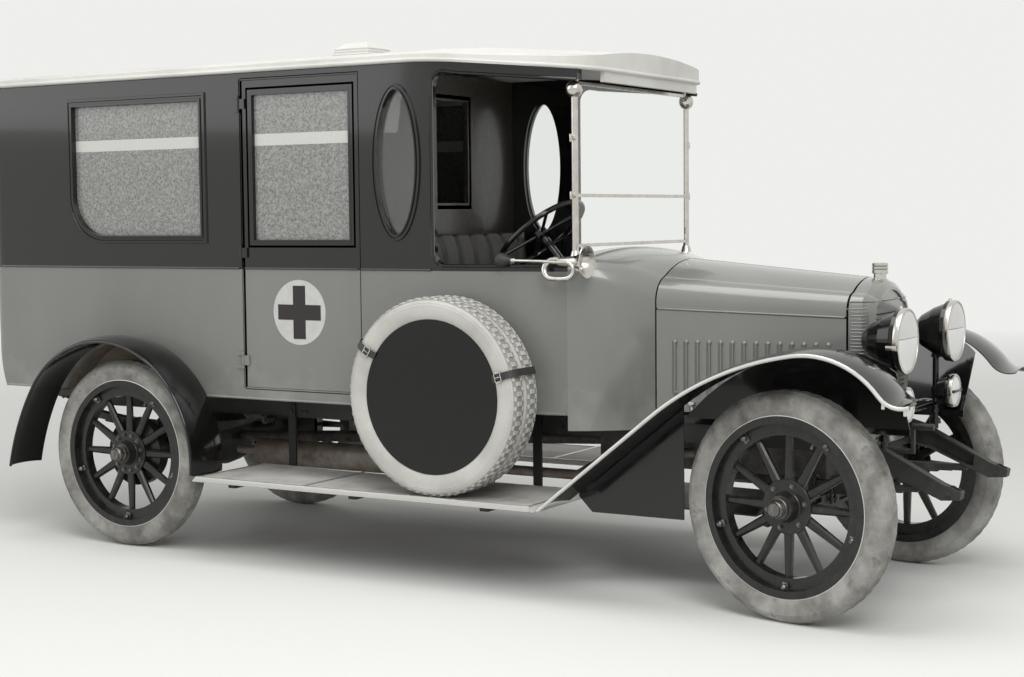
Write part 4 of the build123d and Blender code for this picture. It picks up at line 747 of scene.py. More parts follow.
def tyre_form(half, steps, blocks):
    """A tyre about the Y axis, from the half of its section with positive distance along the axle."""
    bm = bmesh.new()
    turned(bm, half + [(r, -y) for r, y in reversed(half)], steps)
    bmesh.ops.remove_doubles(bm, verts=bm.verts, dist=WELD)
    bmesh.ops.recalc_face_normals(bm, faces=bm.faces)
    for row in blocks:
        raise_blocks(bm, **row)
    return bm


def wheel_place(end, side, turn=0):
    """The matrix of a wheel: its centre, the turn of the front wheels at rest, and perhaps more turn."""
    low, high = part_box(f"{end}_tyre_{side}")
    steer = STEER_REST if end == "front" else 0
    return Matrix.Translation((low + high) / 2) @ Matrix.Rotation(math.radians(steer + turn), 4, "Z")


for side in SIDES:
    for end in ("front", "rear"):
        bm = tyre_form(ROAD_HALF, ROAD_STEPS, ROAD_BLOCKS)
        bmesh.ops.transform(bm, matrix=wheel_place(end, side), verts=bm.verts)
        tyre = finished(bm, f"{end}_road_tyre_{side}", road_rubber, f"{end}_wheel_{side}",
                        crease=25)
        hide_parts(f"{end}_tyre_{side}")

# %% [markdown]
# ## Spare tyres
#
# Two new tyres stand side by side on the right running board, held by a black disc and two leather straps.
# Their walls are smooth and nearly white, with a few fine moulded rings, and the shoulders carry two rows
# of small blocks. They are turned in the same way as the road tyres, from their own half section.

# %% Two spare tyres
SPARE_STEPS = 128
SPARE_HALF = [(0.3195, 0.024), (0.3195, 0.032), (0.327, 0.040), (0.345, 0.0475), (0.365, 0.0500),
              (0.3765, 0.0490), (0.378, 0.0500), (0.381, 0.0485), (0.3865, 0.0462), (0.388, 0.0470),
              (0.391, 0.0445), (0.4000, 0.0370), (0.4070, 0.0255), (0.4085, 0.0240), (0.4100, 0.0110),
              (0.4080, 0.0100)]
SPARE_BLOCKS = [
    {"columns": [(0.0262, 0.037, 0), (-0.037, -0.0262, 1)], "tall": 0.0035, "gap": 0.0024},
    {"columns": [(0.0115, 0.0235, 1), (-0.0235, -0.0115, 0), (-0.0095, 0.0095, 0)], "tall": 0.0035,
     "gap": 0.0018},
]
bm = bmesh.new()
for y in SPARE_Y:
    one = tyre_form(SPARE_HALF, SPARE_STEPS, SPARE_BLOCKS)
    bmesh.ops.translate(one, vec=(SPARE_X, y, SPARE_Z), verts=one.verts)
    shape = bpy.data.meshes.new("spare")
    one.to_mesh(shape)
    one.free()
    bm.from_mesh(shape)
    bpy.data.meshes.remove(shape)
spares = finished(bm, "white_spare_tyres", new_rubber, "vehicle", crease=25)
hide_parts("spare_tyres")

# %% [markdown]
# ## Wheel fittings
#
# The spokes, felloe and rim are there already. What tells the eye that this is a real wheel are its small
# metal parts: the ring of bolts through the hub flange, the wedge clamps that hold the rim on the felloe, a
# bright worn edge on the rim, the valve, and the stepped hub cap. They are all placed by their angle round
# the hub, so a loop does it. Each wheel is modelled about the Y axis with its outer side towards minus Y.

# %% Hub bolts, rim clamps and caps
BOLTS = {"front": {"count": 6, "ring": 0.083}, "rear": {"count": 12, "ring": 0.085}}
BOLTS_FROM = math.radians(12)
CLAMPS, CLAMP_RING, CLAMP_Y = 5, 0.303, -0.024
CLAMPS_FROM = math.radians(-18)
VALVE_RING, VALVE_Y, VALVE_AT = 0.312, -0.010, 1.15
HUB_PLATE_Y = -0.0205
HUB_PLATE = [(0.0500, -0.0140), (0.1050, -0.0140), (0.1050, -0.0190), (0.1030, HUB_PLATE_Y),
             (0.0600, HUB_PLATE_Y), (0.0500, -0.0300)]
HUB_CAP = [(0.0362, -0.066), (0.0362, -0.070), (0.0385, -0.072), (0.0385, -0.078), (0.0362, -0.080),
           (0.0362, -0.098), (0.030, -0.108), (0.024, -0.1125), (0.0, -0.1135), (0.0, -0.100),
           (0.0300, -0.090), (0.0300, -0.066)]
RIM_EDGE = [(0.3450, -0.0506), (0.3480, -0.0500), (0.3486, -0.0470), (0.3455, -0.0455)]


def around(count, radius, y, start):
    """Points evenly round the Y axis."""
    turns = [start + 2 * math.pi * n / count for n in range(count)]
    return [Vector((radius * math.cos(t), y, radius * math.sin(t))) for t in turns]


def stack(bm, at, *rounds):
    """Short round bars from a point towards minus Y, each (from, to, radius, radius at the tip, sides)."""
    for start, end, radius, tip, sides in rounds:
        bar(bm, at - Vector((0, start, 0)), at - Vector((0, end, 0)), radius, tip, sides)


def wheel_fittings(end, side):
    """The metal parts of one wheel."""
    metal, plate, edge = bmesh.new(), bmesh.new(), bmesh.new()
    for at in around(BOLTS[end]["count"], BOLTS[end]["ring"], HUB_PLATE_Y, BOLTS_FROM):
        stack(metal, at, (0, 0.004, 0.0100, 0.0100, 20), (0.004, 0.011, 0.0080, 0.0060, 16))
    for at in around(CLAMPS, CLAMP_RING, CLAMP_Y, CLAMPS_FROM):
        out = outward(at)
        turn = Matrix((Vector((0, 1, 0)).cross(out), Vector((0, 1, 0)), out)).transposed().to_4x4()
        slab(metal, (-0.013, -0.006, -0.018), (0.013, 0.0, 0.020), 0.003, place=Matrix.Translation(at) @ turn)
        stack(metal, at, (0.006, 0.020, 0.0115, 0.0115, 20), (0.020, 0.026, 0.0115, 0.0060, 20))
    turned(metal, HUB_CAP, 48)
    valve = around(1, VALVE_RING, VALVE_Y, VALVE_AT)[0]
    stem, tip = valve - 0.055 * outward(valve), valve - 0.065 * outward(valve)
    bar(metal, valve, stem, 0.0042, sides=10)
    bar(metal, stem, tip, 0.0058, sides=10)
    turned(plate, HUB_PLATE, 64)
    turned(edge, RIM_EDGE, 96)
    place = wheel_place(end, side, 0 if side == "right" else 180)
    for part in (metal, plate, edge):
        bmesh.ops.transform(part, matrix=place, verts=part.verts)
    body = f"{end}_wheel_{side}"
    finished(plate, f"{end}_hub_plate_{side}", wheel_paint, body)
    finished(edge, f"{end}_rim_edge_{side}", edge_metal, body)
    finished(metal, f"{end}_wheel_fittings_{side}", wheel_metal, body)


for side in SIDES:
    for end in BOLTS:
        wheel_fittings(end, side)

# %% [markdown]
# ## Lines on the body
#
# Coach panels are thin boards, and their joints are hidden by wooden beads. A bead is a half-round strip on
# the panel's surface. A curve with a bevel could make it, but a tube along points is the same thing and
# stays a plain mesh. The front of the body narrows in a gentle arc, so each point first asks how wide the
# wall is there.

# %% Beads along the belt and the lower edge
WALL_Y = 0.643
REAR_X = -2.392
CORNER = 0.09
TAPER_X = (0.24, 0.545, 0.85)
TAPER_Y = (0.643, 0.624, 0.575)
DOOR_X = (-0.786, -0.132)
DOOR_Z = (0.772, 2.160)
BEAD_R = 0.0055
BELT_END = 0.236
LOWER_BEADS = [(-2.285, -1.935), (-1.005, 0.845)]
LOWER_BEAD_R = 0.006


def wall_y(x):
    """Half the body's width at one place along it."""
    u = min(max((x - TAPER_X[0]) / (TAPER_X[2] - TAPER_X[0]), 0), 1)
    shares = (2 * (u - 0.5) * (u - 1), 4 * u * (1 - u), 2 * u * (u - 0.5))
    return sum(share * y for share, y in zip(shares, TAPER_Y))


def on_wall(x, z):
    """A point on the right wall."""
    return Vector((x, -wall_y(x), z))


def along_wall(x_from, x_to, z, step=0.05):
    """Points on the right wall at one height."""
    count = max(int(abs(x_to - x_from) / step), 1) if max(x_from, x_to) > TAPER_X[0] else 1
    return [on_wall(x_from + (x_to - x_from) * n / count, z) for n in range(count + 1)]


def round_rear(z, y_from=-0.46):
    """Points from the rear doors round the right rear corner."""
    arc = [Vector((REAR_X + CORNER * (1 - math.cos(t)), -(WALL_Y - CORNER) - CORNER * math.sin(t), z))
           for t in angles(0, 91, 15)]
    return [Vector((REAR_X, y_from, z))] + arc


def both_sides(bm):
    """Adds the left copy of everything on the right."""
    bmesh.ops.mirror(bm, geom=bm.verts[:] + bm.edges[:] + bm.faces[:], merge_dist=-1, axis="Y")


def on_side(bm, side):
    """Turns a right-hand piece into a left-hand one where that is needed."""
    if side == "left":
        bmesh.ops.scale(bm, vec=(1, -1, 1), verts=bm.verts)


bm = bmesh.new()
tube(bm, round_rear(BELT_Z) + [on_wall(DOOR_X[0] - 0.012, BELT_Z)], BEAD_R, 8)
tube(bm, along_wall(DOOR_X[1] + 0.006, BELT_END, BELT_Z), BEAD_R, 8)
for x_from, x_to in LOWER_BEADS:
    tube(bm, along_wall(x_from, x_to, BODY_BOTTOM + LOWER_BEAD_R), LOWER_BEAD_R, 8)
both_sides(bm)
finished(bm, "body_beads", two_tone, "vehicle")

# %% [markdown]
# ## The cab's opening
#
# The opening beside the front seat has a rounded trim. It follows the sill, turns up in a quarter circle,
# turns forward under the roof in another and then drops with the eave. One tube does it, along points that
# ask the wall for its width like the beads.

# %% Trim round the cab's opening
SILL_Z = 1.333
OPENING_X = 0.305
OPENING_TOP = 2.144
OPENING_R = 0.06
TRIM_R = 0.008
UNDER_EAVE = [(0.36, 2.135), (0.45, 2.1265), (0.60, 2.1125), (0.80, 2.094), (0.90, 2.084)]

opening = [on_wall(x, SILL_Z) for x in (0.845, 0.75, 0.65, 0.55, 0.45, 0.36)]
for centre_z, start in ((SILL_Z + OPENING_R, 270), (OPENING_TOP - OPENING_R, 180)):
    for turn in angles(start, start - 91, -15):
        opening.append(on_wall(OPENING_X + OPENING_R * math.cos(turn), centre_z + OPENING_R * math.sin(turn)))
opening += [on_wall(x, z) for x, z in UNDER_EAVE]
bm = bmesh.new()
tube(bm, opening, TRIM_R, 8)
both_sides(bm)
finished(bm, "cab_opening_trim", two_tone, "vehicle")

# %% [markdown]
# ## Window mouldings
#
# Each window sits in a double moulding that throws two thin lines of light round the glass. The moulding is
# one face of the window's outline that is inset again and again: up, level, down, level, up and at last
# deep into the reveal. The middle is then cut out. The large rear window has one well-rounded corner, which
# is a bevelled vertex of the outline, and the oval windows start from a circle.

# %% Mouldings round the side windows
DOOR_GLASS = (-0.713, -0.186, 1.442, 2.087)
REAR_WINDOW = (-1.810, -1.015, 1.461, 2.078)
REAR_WINDOW_R = 0.190
OVAL = {"x": 0.063, "z": 1.770, "half_x": 0.102, "half_z": 0.310}
OVAL_OUT = 0.024
OVAL_SHARE = 0.72
FRAME_STEPS = [(0.003, 0.008), (0.010, 0.0), (0.003, -0.005), (0.008, 0.0), (0.003, 0.006), (0.009, 0.0),
               (0.004, -0.0245)]
FRAME_OUT = 0.034
PANEL_STEPS = [(0.003, 0.005), (0.012, 0.0), (0.003, -0.005)]


def side_outline(x0, x1, z0, z1, out=0.0):
    """A rectangle on the right wall that faces outwards."""
    corners = ((x0 - out, z0 - out), (x1 + out, z0 - out), (x1 + out, z1 + out), (x0 - out, z1 + out))
    return [(x, -WALL_Y, z) for x, z in corners]


bm = bmesh.new()
moulding(bm, side_outline(*REAR_WINDOW, FRAME_OUT), FRAME_STEPS, [(0, REAR_WINDOW_R + FRAME_OUT)])
size = Matrix.Diagonal((OVAL["half_x"] + OVAL_OUT, OVAL["half_z"] + OVAL_OUT, 1, 1))
place = Matrix.Translation((OVAL["x"], -WALL_Y, OVAL["z"])) @ TO_Z @ size
made = bmesh.ops.create_circle(bm, cap_ends=True, radius=1, segments=72, matrix=place)
step_in(bm, made["verts"][0].link_faces[0], [(width * OVAL_SHARE, rise) for width, rise in FRAME_STEPS])
both_sides(bm)
finished(bm, "side_window_mouldings", two_tone, "vehicle", crease=20)

for side in SIDES:
    bm = bmesh.new()
    moulding(bm, side_outline(*DOOR_GLASS, FRAME_OUT), FRAME_STEPS)
    moulding(bm, side_outline(DOOR_X[0] + 0.008, DOOR_X[1] + 0.004, DOOR_Z[0] - 0.004, DOOR_Z[1] + 0.004),
             PANEL_STEPS)
    tube(bm, along_wall(DOOR_X[0] + 0.020, DOOR_X[1] - 0.010, BELT_Z), BEAD_R, 8)
    on_side(bm, side)
    finished(bm, f"side_door_mouldings_{side}", two_tone, f"side_door_{side}", crease=20)

# %% [markdown]
# ## Doors
#
# The two rear doors have a window each, the same double moulding and long strap hinges at the outer edges.
# The lever handles sit on the right rear door, which closes last, on the left side door and on the half
# door of the cab. The photograph shows neither the rear nor the left side, so the mouldings follow the side
# that it shows, and the handles are of a usual kind.

# %% Rear door fittings and handles
REAR_GLASS = (0.110, 0.350, 1.440, 2.010)
STRAP_LEVELS = (1.38, 1.98)
STRAP_Y = (-0.400, -0.250)
STRAP_TALL = 0.016
RIVETS_Y = (-0.275, -0.320, -0.365)
HANDLES = {
    "rear_door_handle": {"body": "rear_door_right", "at": (REAR_X, -0.075, 1.225), "out": (-1, 0, 0),
                         "down": (0, -0.35, -0.94)},
    "side_door_handle": {"body": "side_door_left", "at": (-0.190, WALL_Y, 1.235), "out": (0, 1, 0),
                         "down": (-0.94, 0, -0.3)},
    "cab_door_handle": {"body": "cab_door_left", "at": (0.365, wall_y(0.365), 1.235), "out": (0, 1, 0),
                        "down": (0.94, 0, -0.3)},
}


def rear_outline(y0, y1, z0, z1, out):
    """A rectangle on the rear of the right door that faces backwards."""
    corners = ((y0 - out, z0 - out), (y1 + out, z0 - out), (y1 + out, z1 + out), (y0 - out, z1 + out))
    return [(REAR_X, -y, z) for y, z in corners]


def lever(bm, at, out, down):
    """A door handle: a rose, a neck and a tapered lever."""
    at, out, down = Vector(at), Vector(out), Vector(down)
    bar(bm, at, at + 0.006 * out, 0.024, 0.021, 24)
    bar(bm, at, at + 0.045 * out, 0.008, 0.007, 14)
    bar(bm, at + 0.040 * out - 0.012 * down, at + 0.040 * out + 0.095 * down, 0.008, 0.0055, 14)


for side in SIDES:
    bm = bmesh.new()
    moulding(bm, rear_outline(*REAR_GLASS, FRAME_OUT), FRAME_STEPS)
    tube(bm, [(REAR_X, -0.028, BELT_Z), (REAR_X, -0.405, BELT_Z)], BEAD_R, 8)
    on_side(bm, side)
    finished(bm, f"rear_door_mouldings_{side}", two_tone, f"rear_door_{side}", crease=20)
    bm = bmesh.new()
    for z in STRAP_LEVELS:
        slab(bm, (REAR_X - 0.005, STRAP_Y[0], z - STRAP_TALL),
             (REAR_X + 0.001, STRAP_Y[1], z + STRAP_TALL), 0.002)
        for y in RIVETS_Y:
            bar(bm, (REAR_X - 0.004, y, z), (REAR_X - 0.008, y, z), 0.006, 0.003, 10)
    on_side(bm, side)
    finished(bm, f"rear_door_straps_{side}", enamel, f"rear_door_{side}")

for name, handle in HANDLES.items():
    bm = bmesh.new()
    lever(bm, handle["at"], handle["out"], handle["down"])
    finished(bm, name, nickel, handle["body"])

# %% [markdown]
# ## The mark on the side doors
#
# Below the belt each side door carries a white disc with a near-black cross. Painted marks have no
# thickness to speak of, but two surfaces in one place flicker in a render, so the disc is a very thin plate
# on the door and the cross another one on the disc. The cross is a face of twelve corners, pulled outwards.

# %% Disc and cross
MARK_X, MARK_Z, MARK_R = -0.465, 1.122, 0.144
CROSS_REACH = 0.118
CROSS_HALF = 0.034
PAINT_THICK = 0.0008


def prism(bm, corners, along):
    """A face of some corners, extruded."""
    face = bm.faces.new([bm.verts.new(c) for c in corners])
    made = bmesh.ops.extrude_face_region(bm, geom=[face])["geom"]
    bmesh.ops.translate(bm, vec=along, verts=[g for g in made if isinstance(g, bmesh.types.BMVert)])


a, b = CROSS_HALF, CROSS_REACH
CROSS = [(a, a), (a, b), (-a, b), (-a, a), (-b, a), (-b, -a), (-a, -a), (-a, -b), (a, -b), (a, -a), (b, -a),
         (b, a)]
for side in SIDES:
    bm = bmesh.new()
    bar(bm, (MARK_X, -WALL_Y + 0.001, MARK_Z), (MARK_X, -WALL_Y - PAINT_THICK, MARK_Z), MARK_R, sides=96)
    on_side(bm, side)
    finished(bm, f"mark_disc_{side}", plain_white, f"side_door_{side}")
    bm = bmesh.new()
    prism(bm, [(MARK_X + x, -WALL_Y - 0.0004, MARK_Z + z) for x, z in CROSS], (0, -0.0011, 0))
    on_side(bm, side)
    finished(bm, f"mark_cross_{side}", cross_black, f"side_door_{side}")

# %% [markdown]
# ## Roof edge
#
# The roof ends in a white moulding that also carries the rain to the rear. It follows the eave line, which
# drops a little over the cab, and turns round all four corners. The roof's plan gives the points, and the
# eave their height.

# %% Roof moulding and ventilator
EAVE_Z = 2.188
DROOP = {"start": 0.100, "end": 0.389, "low": 2.1745, "slope": 0.0933}
ROOF_Y = 0.670
ROOF_REAR = {"x": -2.308, "y": 0.570, "r": 0.10}
ROOF_FRONT = {"x": 0.776, "y": 0.414, "r": 0.19}
ROOF_TAPER = 0.066
GUTTER_UP, GUTTER_R = 0.009, 0.0085
VENT_X = -0.5625
VENT_FOOT = (-0.676, -0.106, 2.270), (-0.449, 0.106, 2.283)
SLATS = [{"z": 2.300, "half": 0.09975}, {"z": 2.313, "half": 0.0965}, {"z": 2.326, "half": 0.09325}]


def eave(x):
    """Height of the eave line: level, then a short arc, then a straight slope."""
    if x < DROOP["start"]:
        return EAVE_Z
    if x < DROOP["end"]:
        share = (x - DROOP["start"]) / (DROOP["end"] - DROOP["start"])
        return EAVE_Z - (EAVE_Z - DROOP["low"]) * share ** 2
    return DROOP["low"] - (x - DROOP["end"]) * DROOP["slope"]


half = [(ROOF_REAR["x"] - ROOF_REAR["r"] * math.sin(t), ROOF_REAR["y"] + ROOF_REAR["r"] * math.cos(t))
        for t in angles(90, 0, -15)]
half += [(x, ROOF_Y) for x in (ROOF_REAR["x"], 0.10, 0.17, TAPER_X[0])]
half += [(TAPER_X[0] + (ROOF_FRONT["x"] - TAPER_X[0]) * n / 8, ROOF_Y - ROOF_TAPER * (n / 8) ** 2)
         for n in range(1, 9)]
half += [(ROOF_FRONT["x"] + ROOF_FRONT["r"] * math.sin(t), ROOF_FRONT["y"] + ROOF_FRONT["r"] * math.cos(t))
         for t in angles(15, 91, 15)]
plan = [(x, -y) for x, y in half] + list(reversed(half))
bm = bmesh.new()
tube(bm, [Vector((x, y, eave(x) + GUTTER_UP)) for x, y in plan], GUTTER_R, 8, closed=True)
finished(bm, "roof_edge", roof_paint, "vehicle")

bm = bmesh.new()
slab(bm, *VENT_FOOT, 0.004)
for slat in SLATS:
    x_half, y_half, z = slat["half"] + 0.006, slat["half"] - 0.003, slat["z"]
    slab(bm, (VENT_X - x_half, -y_half, z - 0.002), (VENT_X + x_half, y_half, z + 0.002), 0.0015)
finished(bm, "ventilator_slats", roof_paint, "vehicle")

# %% [markdown]
# ## Fixed side windows
#
# The large window behind the door is obscured like the doors' own, but the oval one ahead of it is clear,
# so that one can look out. One ready-made part holds both kinds of pane, and one part can only have one
# finish here, so the panes are made again as two pieces. Each pane is a thin plate: its outline becomes a
# face, and the face is extruded.

# %% Obscured and clear panes
PANE_Y = -0.627
PANE_THICK = 0.006


def panes(name, outline, finish):
    """A pane on each side, from its outline in x and z."""
    bm = bmesh.new()
    prism(bm, [(x, PANE_Y, z) for x, z in outline], (0, PANE_THICK, 0))
    both_sides(bm)
    return finished(bm, name, finish, "vehicle")


x0, x1, z0, z1 = REAR_WINDOW
rounded = [(x0 + REAR_WINDOW_R * (1 + math.cos(t)), z0 + REAR_WINDOW_R * (1 + math.sin(t)))
           for t in angles(180, 271, 10)]
oval = [(OVAL["x"] + OVAL["half_x"] * math.cos(t), OVAL["z"] + OVAL["half_z"] * math.sin(t))
        for t in angles(0, 360, 6)]
rear_panes = panes("rear_side_panes", rounded + [(x1, z0), (x1, z1), (x0, z1)], obscured)
oval_panes = panes("oval_panes", oval, clear_glass)
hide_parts("side_glass")
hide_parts("side_glass")

# %% [markdown]
# ## Lamps
#
# A headlamp is a black bowl closed by a nickel ring that holds a slightly domed lens. The bowl is there
# already. The ring is a small outline turned about the lamp's axis, and the lens is an arc turned the same
# way. Lenses of this kind scatter the light, so they look nearly white from the side, with one level line
# where two halves meet; above that line the lens colour is greyer, a painted shade. The side lamps are
# smaller, and a level bar crosses each lens. Every bracket is a post with turned collars.

# %% Headlamps and side lamps
HEADLAMP = {"x": 2.187, "y": 0.316, "z": 1.049, "r": 0.125, "deep": 0.016, "rise": 0.012}
SIDE_LAMP = {"x": 2.189, "y": 0.307, "z": 0.803, "r": 0.068, "deep": 0.012, "rise": 0.010}
LENS_IN = 0.0082
POST_X, POST_Y = 2.100, 0.325
COLLARS = [(0.938, 0.958, 0.021, 0.017, 24), (0.662, 0.684, 0.024, 0.020, 24),
           (0.792, 0.816, 0.018, None, 24), (0.710, 0.722, 0.0165, None, 6), (0.768, 0.780, 0.0165, None, 6)]


def lamp_front(rims, lenses, lamp, sense):
    """A lamp's ring, open in the middle, and its domed lens. Gives the middle of the lamp's front."""
    at = Vector((lamp["x"], sense * lamp["y"], lamp["z"]))
    place = Matrix.Translation(at) @ TO_X
    r, deep = lamp["r"], lamp["deep"]
    ring = [(r - 0.0085, 0.0002), (r - 0.0075, 0.0040), (r - 0.0035, 0.0050), (r + 0.0008, 0.0020),
            (r + 0.0020, -0.0040), (r + 0.0020, -deep), (r + 0.0005, -deep - 0.003), (r + 0.0005, -0.006),
            (r - 0.006, 0.0002)]
    turned(rims, ring, 72, place)
    inner = r - LENS_IN
    dome = [(inner * math.cos(t), lamp["rise"] * math.sin(t) + 0.0008) for t in angles(0, 91, 9)]
    turned(lenses, [(0.0, 0.0003), (inner, 0.0003)] + dome, 72, place)
    return at


rims, lenses, blacks = bmesh.new(), bmesh.new(), bmesh.new()
for sense in SIDES.values():
    head = lamp_front(rims, lenses, HEADLAMP, sense)
    small = lamp_front(rims, lenses, SIDE_LAMP, sense)
    slab(blacks, small + Vector((0.001, -0.060, -0.0055)), small + Vector((0.0135, 0.060, 0.0055)), 0.002)
    slab(rims, head + Vector((-0.045, sense * 0.1235, -0.030)),
         head + Vector((-0.004, sense * 0.1300, -0.010)), 0.002)
    bar(rims, head + Vector((-0.026, 0, 0.124)), head + Vector((-0.026, 0, 0.134)), 0.007, 0.005, 14)
    for low, high, radius, tip, sides in COLLARS:
        bar(blacks, (POST_X, sense * POST_Y, low), (POST_X, sense * POST_Y, high), radius, tip, sides)
finished(rims, "lamp_rims", nickel, "vehicle")
finished(lenses, "lamp_lenses", lens_glass, "vehicle")
finished(blacks, "lamp_brackets", enamel, "vehicle")

# %% [markdown]
# ## Radiator shell
#
# A raised bead runs round the shell a hand's width below its top, and below it the shell's flanks carry
# fine level ribs. The filler cap is a nickel screw cap with grooves for the hand. The shell narrows towards
# the front in four stations, so a function gives its half width at any place and height. Ribs that follow
# it are short tubes.

# %% Bead, ribs and filler cap
SHELL_STATIONS = [(1.930, 0.258, 1.150, 0.190, 1.226), (1.980, 0.252, 1.148, 0.186, 1.222),
                  (2.006, 0.232, 1.142, 0.172, 1.208), (2.020, 0.204, 1.134, 0.152, 1.190)]
HEADER_Z = 1.192
HEADER_FACE = (2.012, 0.142)
HEADER_R = 0.0048
HEADER_X = (1.933, 1.955, 1.980, 1.993, 2.006, 2.013, 2.0195)
RIBS, RIB_TOP, RIB_STEP = 34, 1.178, 0.0135
RIB_X = (1.940, 1.980, 1.999)
RIB_OUT, RIB_R = 0.0006, 0.0022
FILLER_X = 1.969
CAP_GROOVES = (1.3245, 1.3120)


def shoulder_radius(half, side, shoulder_y, shoulder_z):
    """The radius of the arc that starts upright at the top of the side and passes through the shoulder."""
    run, rise = half - shoulder_y, shoulder_z - side
    return (run * run + rise * rise) / (2 * run)


def shell_y(x, z):
    """Half the width of the radiator shell at a place and height."""
    widths = []
    for _, half, side, shoulder_y, shoulder_z in SHELL_STATIONS:
        radius = shoulder_radius(half, side, shoulder_y, shoulder_z)
        up = min(max(z - side, 0), radius)
        widths.append(half - radius + math.sqrt(radius * radius - up * up))
    for n in range(len(widths) - 1):
        low, high = SHELL_STATIONS[n][0], SHELL_STATIONS[n + 1][0]
        if x <= high:
            return widths[n] + (widths[n + 1] - widths[n]) * (x - low) / (high - low)
    return widths[-1]


bm = bmesh.new()
tube(bm, [(x, -shell_y(x, HEADER_Z), HEADER_Z) for x in HEADER_X], HEADER_R, 8)
for n in range(RIBS):
    z = RIB_TOP - RIB_STEP * n
    tube(bm, [(x, -shell_y(x, z) + RIB_OUT, z) for x in RIB_X], RIB_R, 6)
both_sides(bm)
x, y = HEADER_FACE
tube(bm, [(x, -y, HEADER_Z), (x, y, HEADER_Z)], HEADER_R, 8)
finished(bm, "radiator_beads", grey_paint, "vehicle")

cap = [(0.0, 1.3375), (0.0285, 1.3375), (0.0325, 1.3350)]
for z in CAP_GROOVES:
    cap += [(0.0325, z + 0.0030), (0.0305, z + 0.0015), (0.0305, z - 0.0015), (0.0325, z - 0.0030)]
cap += [(0.0325, 1.2970), (0.0310, 1.2945), (0.0255, 1.2945), (0.0255, 1.2720), (0.0330, 1.2700),
        (0.0330, 1.2640), (0.0235, 1.2640), (0.0235, 1.2950), (0.0, 1.3355)]
bm = bmesh.new()
turned(bm, cap, 48, Matrix.Translation((FILLER_X, 0, 0)) @ TO_Z)
finished(bm, "filler_cap", nickel, "vehicle", crease=25)

# %% [markdown]
# ## Scuttle skin
#
# The scuttle joins the wide cab to the narrow bonnet. The construction gives it as flat strips between
# three cross-sections, and gloss paint shows every fold between strips. The real sheet was hammered to one
# flowing curve. So the skin is made again: a flat grid is laid over many sections between the given ones,
# one row of the grid to each section. Hermite curves carry each dimension through the given sections with a
# chosen slope. The centre hinge rod of the bonnet goes with it.

# %% A smooth skin for the scuttle
SCUTTLE_LOW = 0.660
SCUTTLE_STATIONS = [(0.850, 0.575, 1.290, 0.500, 1.370, 1.403), (1.010, 0.481, 1.245, 0.400, 1.340, 1.384),
                    (1.140, 0.356, 1.180, 0.272, 1.284, 1.352)]
SCUTTLE_SLOPES = [(1, -0.30, -0.22, -0.42, -0.10, -0.06), (1, -0.80, -0.40, -0.82, -0.32, -0.19),
                  (1, -1.08, -0.58, -1.10, -0.52, -0.30)]
SECTIONS_BETWEEN = 8
SHOULDER_STEPS, TOP_STEPS = 10, 12
SHEET_THICK = 0.004
HINGE_ROD = (1.138, 0, 1.347), (1.9295, 0, 1.275)
HINGE_ROD_R = 0.005


def flowing(n, t):
    """Dimensions at a share t of the way from station n to the next one."""
    first, last = SCUTTLE_STATIONS[n], SCUTTLE_STATIONS[n + 1]
    run = last[0] - first[0]
    weights = (2 * t**3 - 3 * t**2 + 1, t**3 - 2 * t**2 + t, 3 * t**2 - 2 * t**3, t**3 - t**2)
    dims = [first[0] + run * t]
    for a, b, slope_a, slope_b in list(zip(first, last, SCUTTLE_SLOPES[n], SCUTTLE_SLOPES[n + 1]))[1:]:
        dims.append(weights[0] * a + weights[1] * run * slope_a + weights[2] * b + weights[3] * run * slope_b)
    return dims


def hood_section(x, half, side, shoulder_y, shoulder_z, top):
    """Points over a hood from the right lower edge to the left one."""
    r = shoulder_radius(half, side, shoulder_y, shoulder_z)
    phi = math.asin(min((shoulder_z - side) / r, 1))
    if half - shoulder_y >= r:
        phi = math.pi - phi
    points = [(half, SCUTTLE_LOW), (half, (SCUTTLE_LOW + side) / 2)]
    for n in range(SHOULDER_STEPS + 1):
        turn = phi * n / SHOULDER_STEPS
        points.append((half - r + r * math.cos(turn), side + r * math.sin(turn)))
    lift = top - shoulder_z
    big = (shoulder_y ** 2 + lift ** 2) / (2 * lift)
    psi = math.asin(shoulder_y / big)
    for n in range(1, TOP_STEPS + 1):
        turn = psi * (1 - n / TOP_STEPS)
        points.append((big * math.sin(turn), top - big + big * math.cos(turn)))
    return [(x, -y, z) for y, z in points] + [(x, y, z) for y, z in reversed(points[:-1])]


sections = [flowing(n, step / SECTIONS_BETWEEN) for n in (0, 1) for step in range(SECTIONS_BETWEEN)]
rows = [hood_section(*dims) for dims in sections + [SCUTTLE_STATIONS[-1]]]
bm = bmesh.new()
bmesh.ops.create_grid(bm, x_segments=len(rows) - 1, y_segments=len(rows[0]) - 1, size=1)
for vert in bm.verts:
    row = round((vert.co.x + 1) / 2 * (len(rows) - 1))
    point = round((vert.co.y + 1) / 2 * (len(rows[0]) - 1))
    vert.co = rows[row][point]
bm.normal_update()
bmesh.ops.recalc_face_normals(bm, faces=bm.faces)
if sum(face.normal.z for face in bm.faces) < 0:
    bmesh.ops.reverse_faces(bm, faces=bm.faces)
bmesh.ops.solidify(bm, geom=bm.faces[:], thickness=SHEET_THICK)
bar(bm, *HINGE_ROD, HINGE_ROD_R)
skin = finished(bm, "scuttle_skin", grey_paint, "vehicle", crease=40)
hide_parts("scuttle")

# %% [markdown]
# ## Bonnet fittings
#
# Each side leaf is held down by two spring catches on the frame and carries a small lifting handle. A catch
# is a bracket and a coil spring on a rod, and the coil is a tube along a helix. Each of the 14 louvres ends
# in a rounded bump above and below, a stretched sphere half sunk in the sheet.

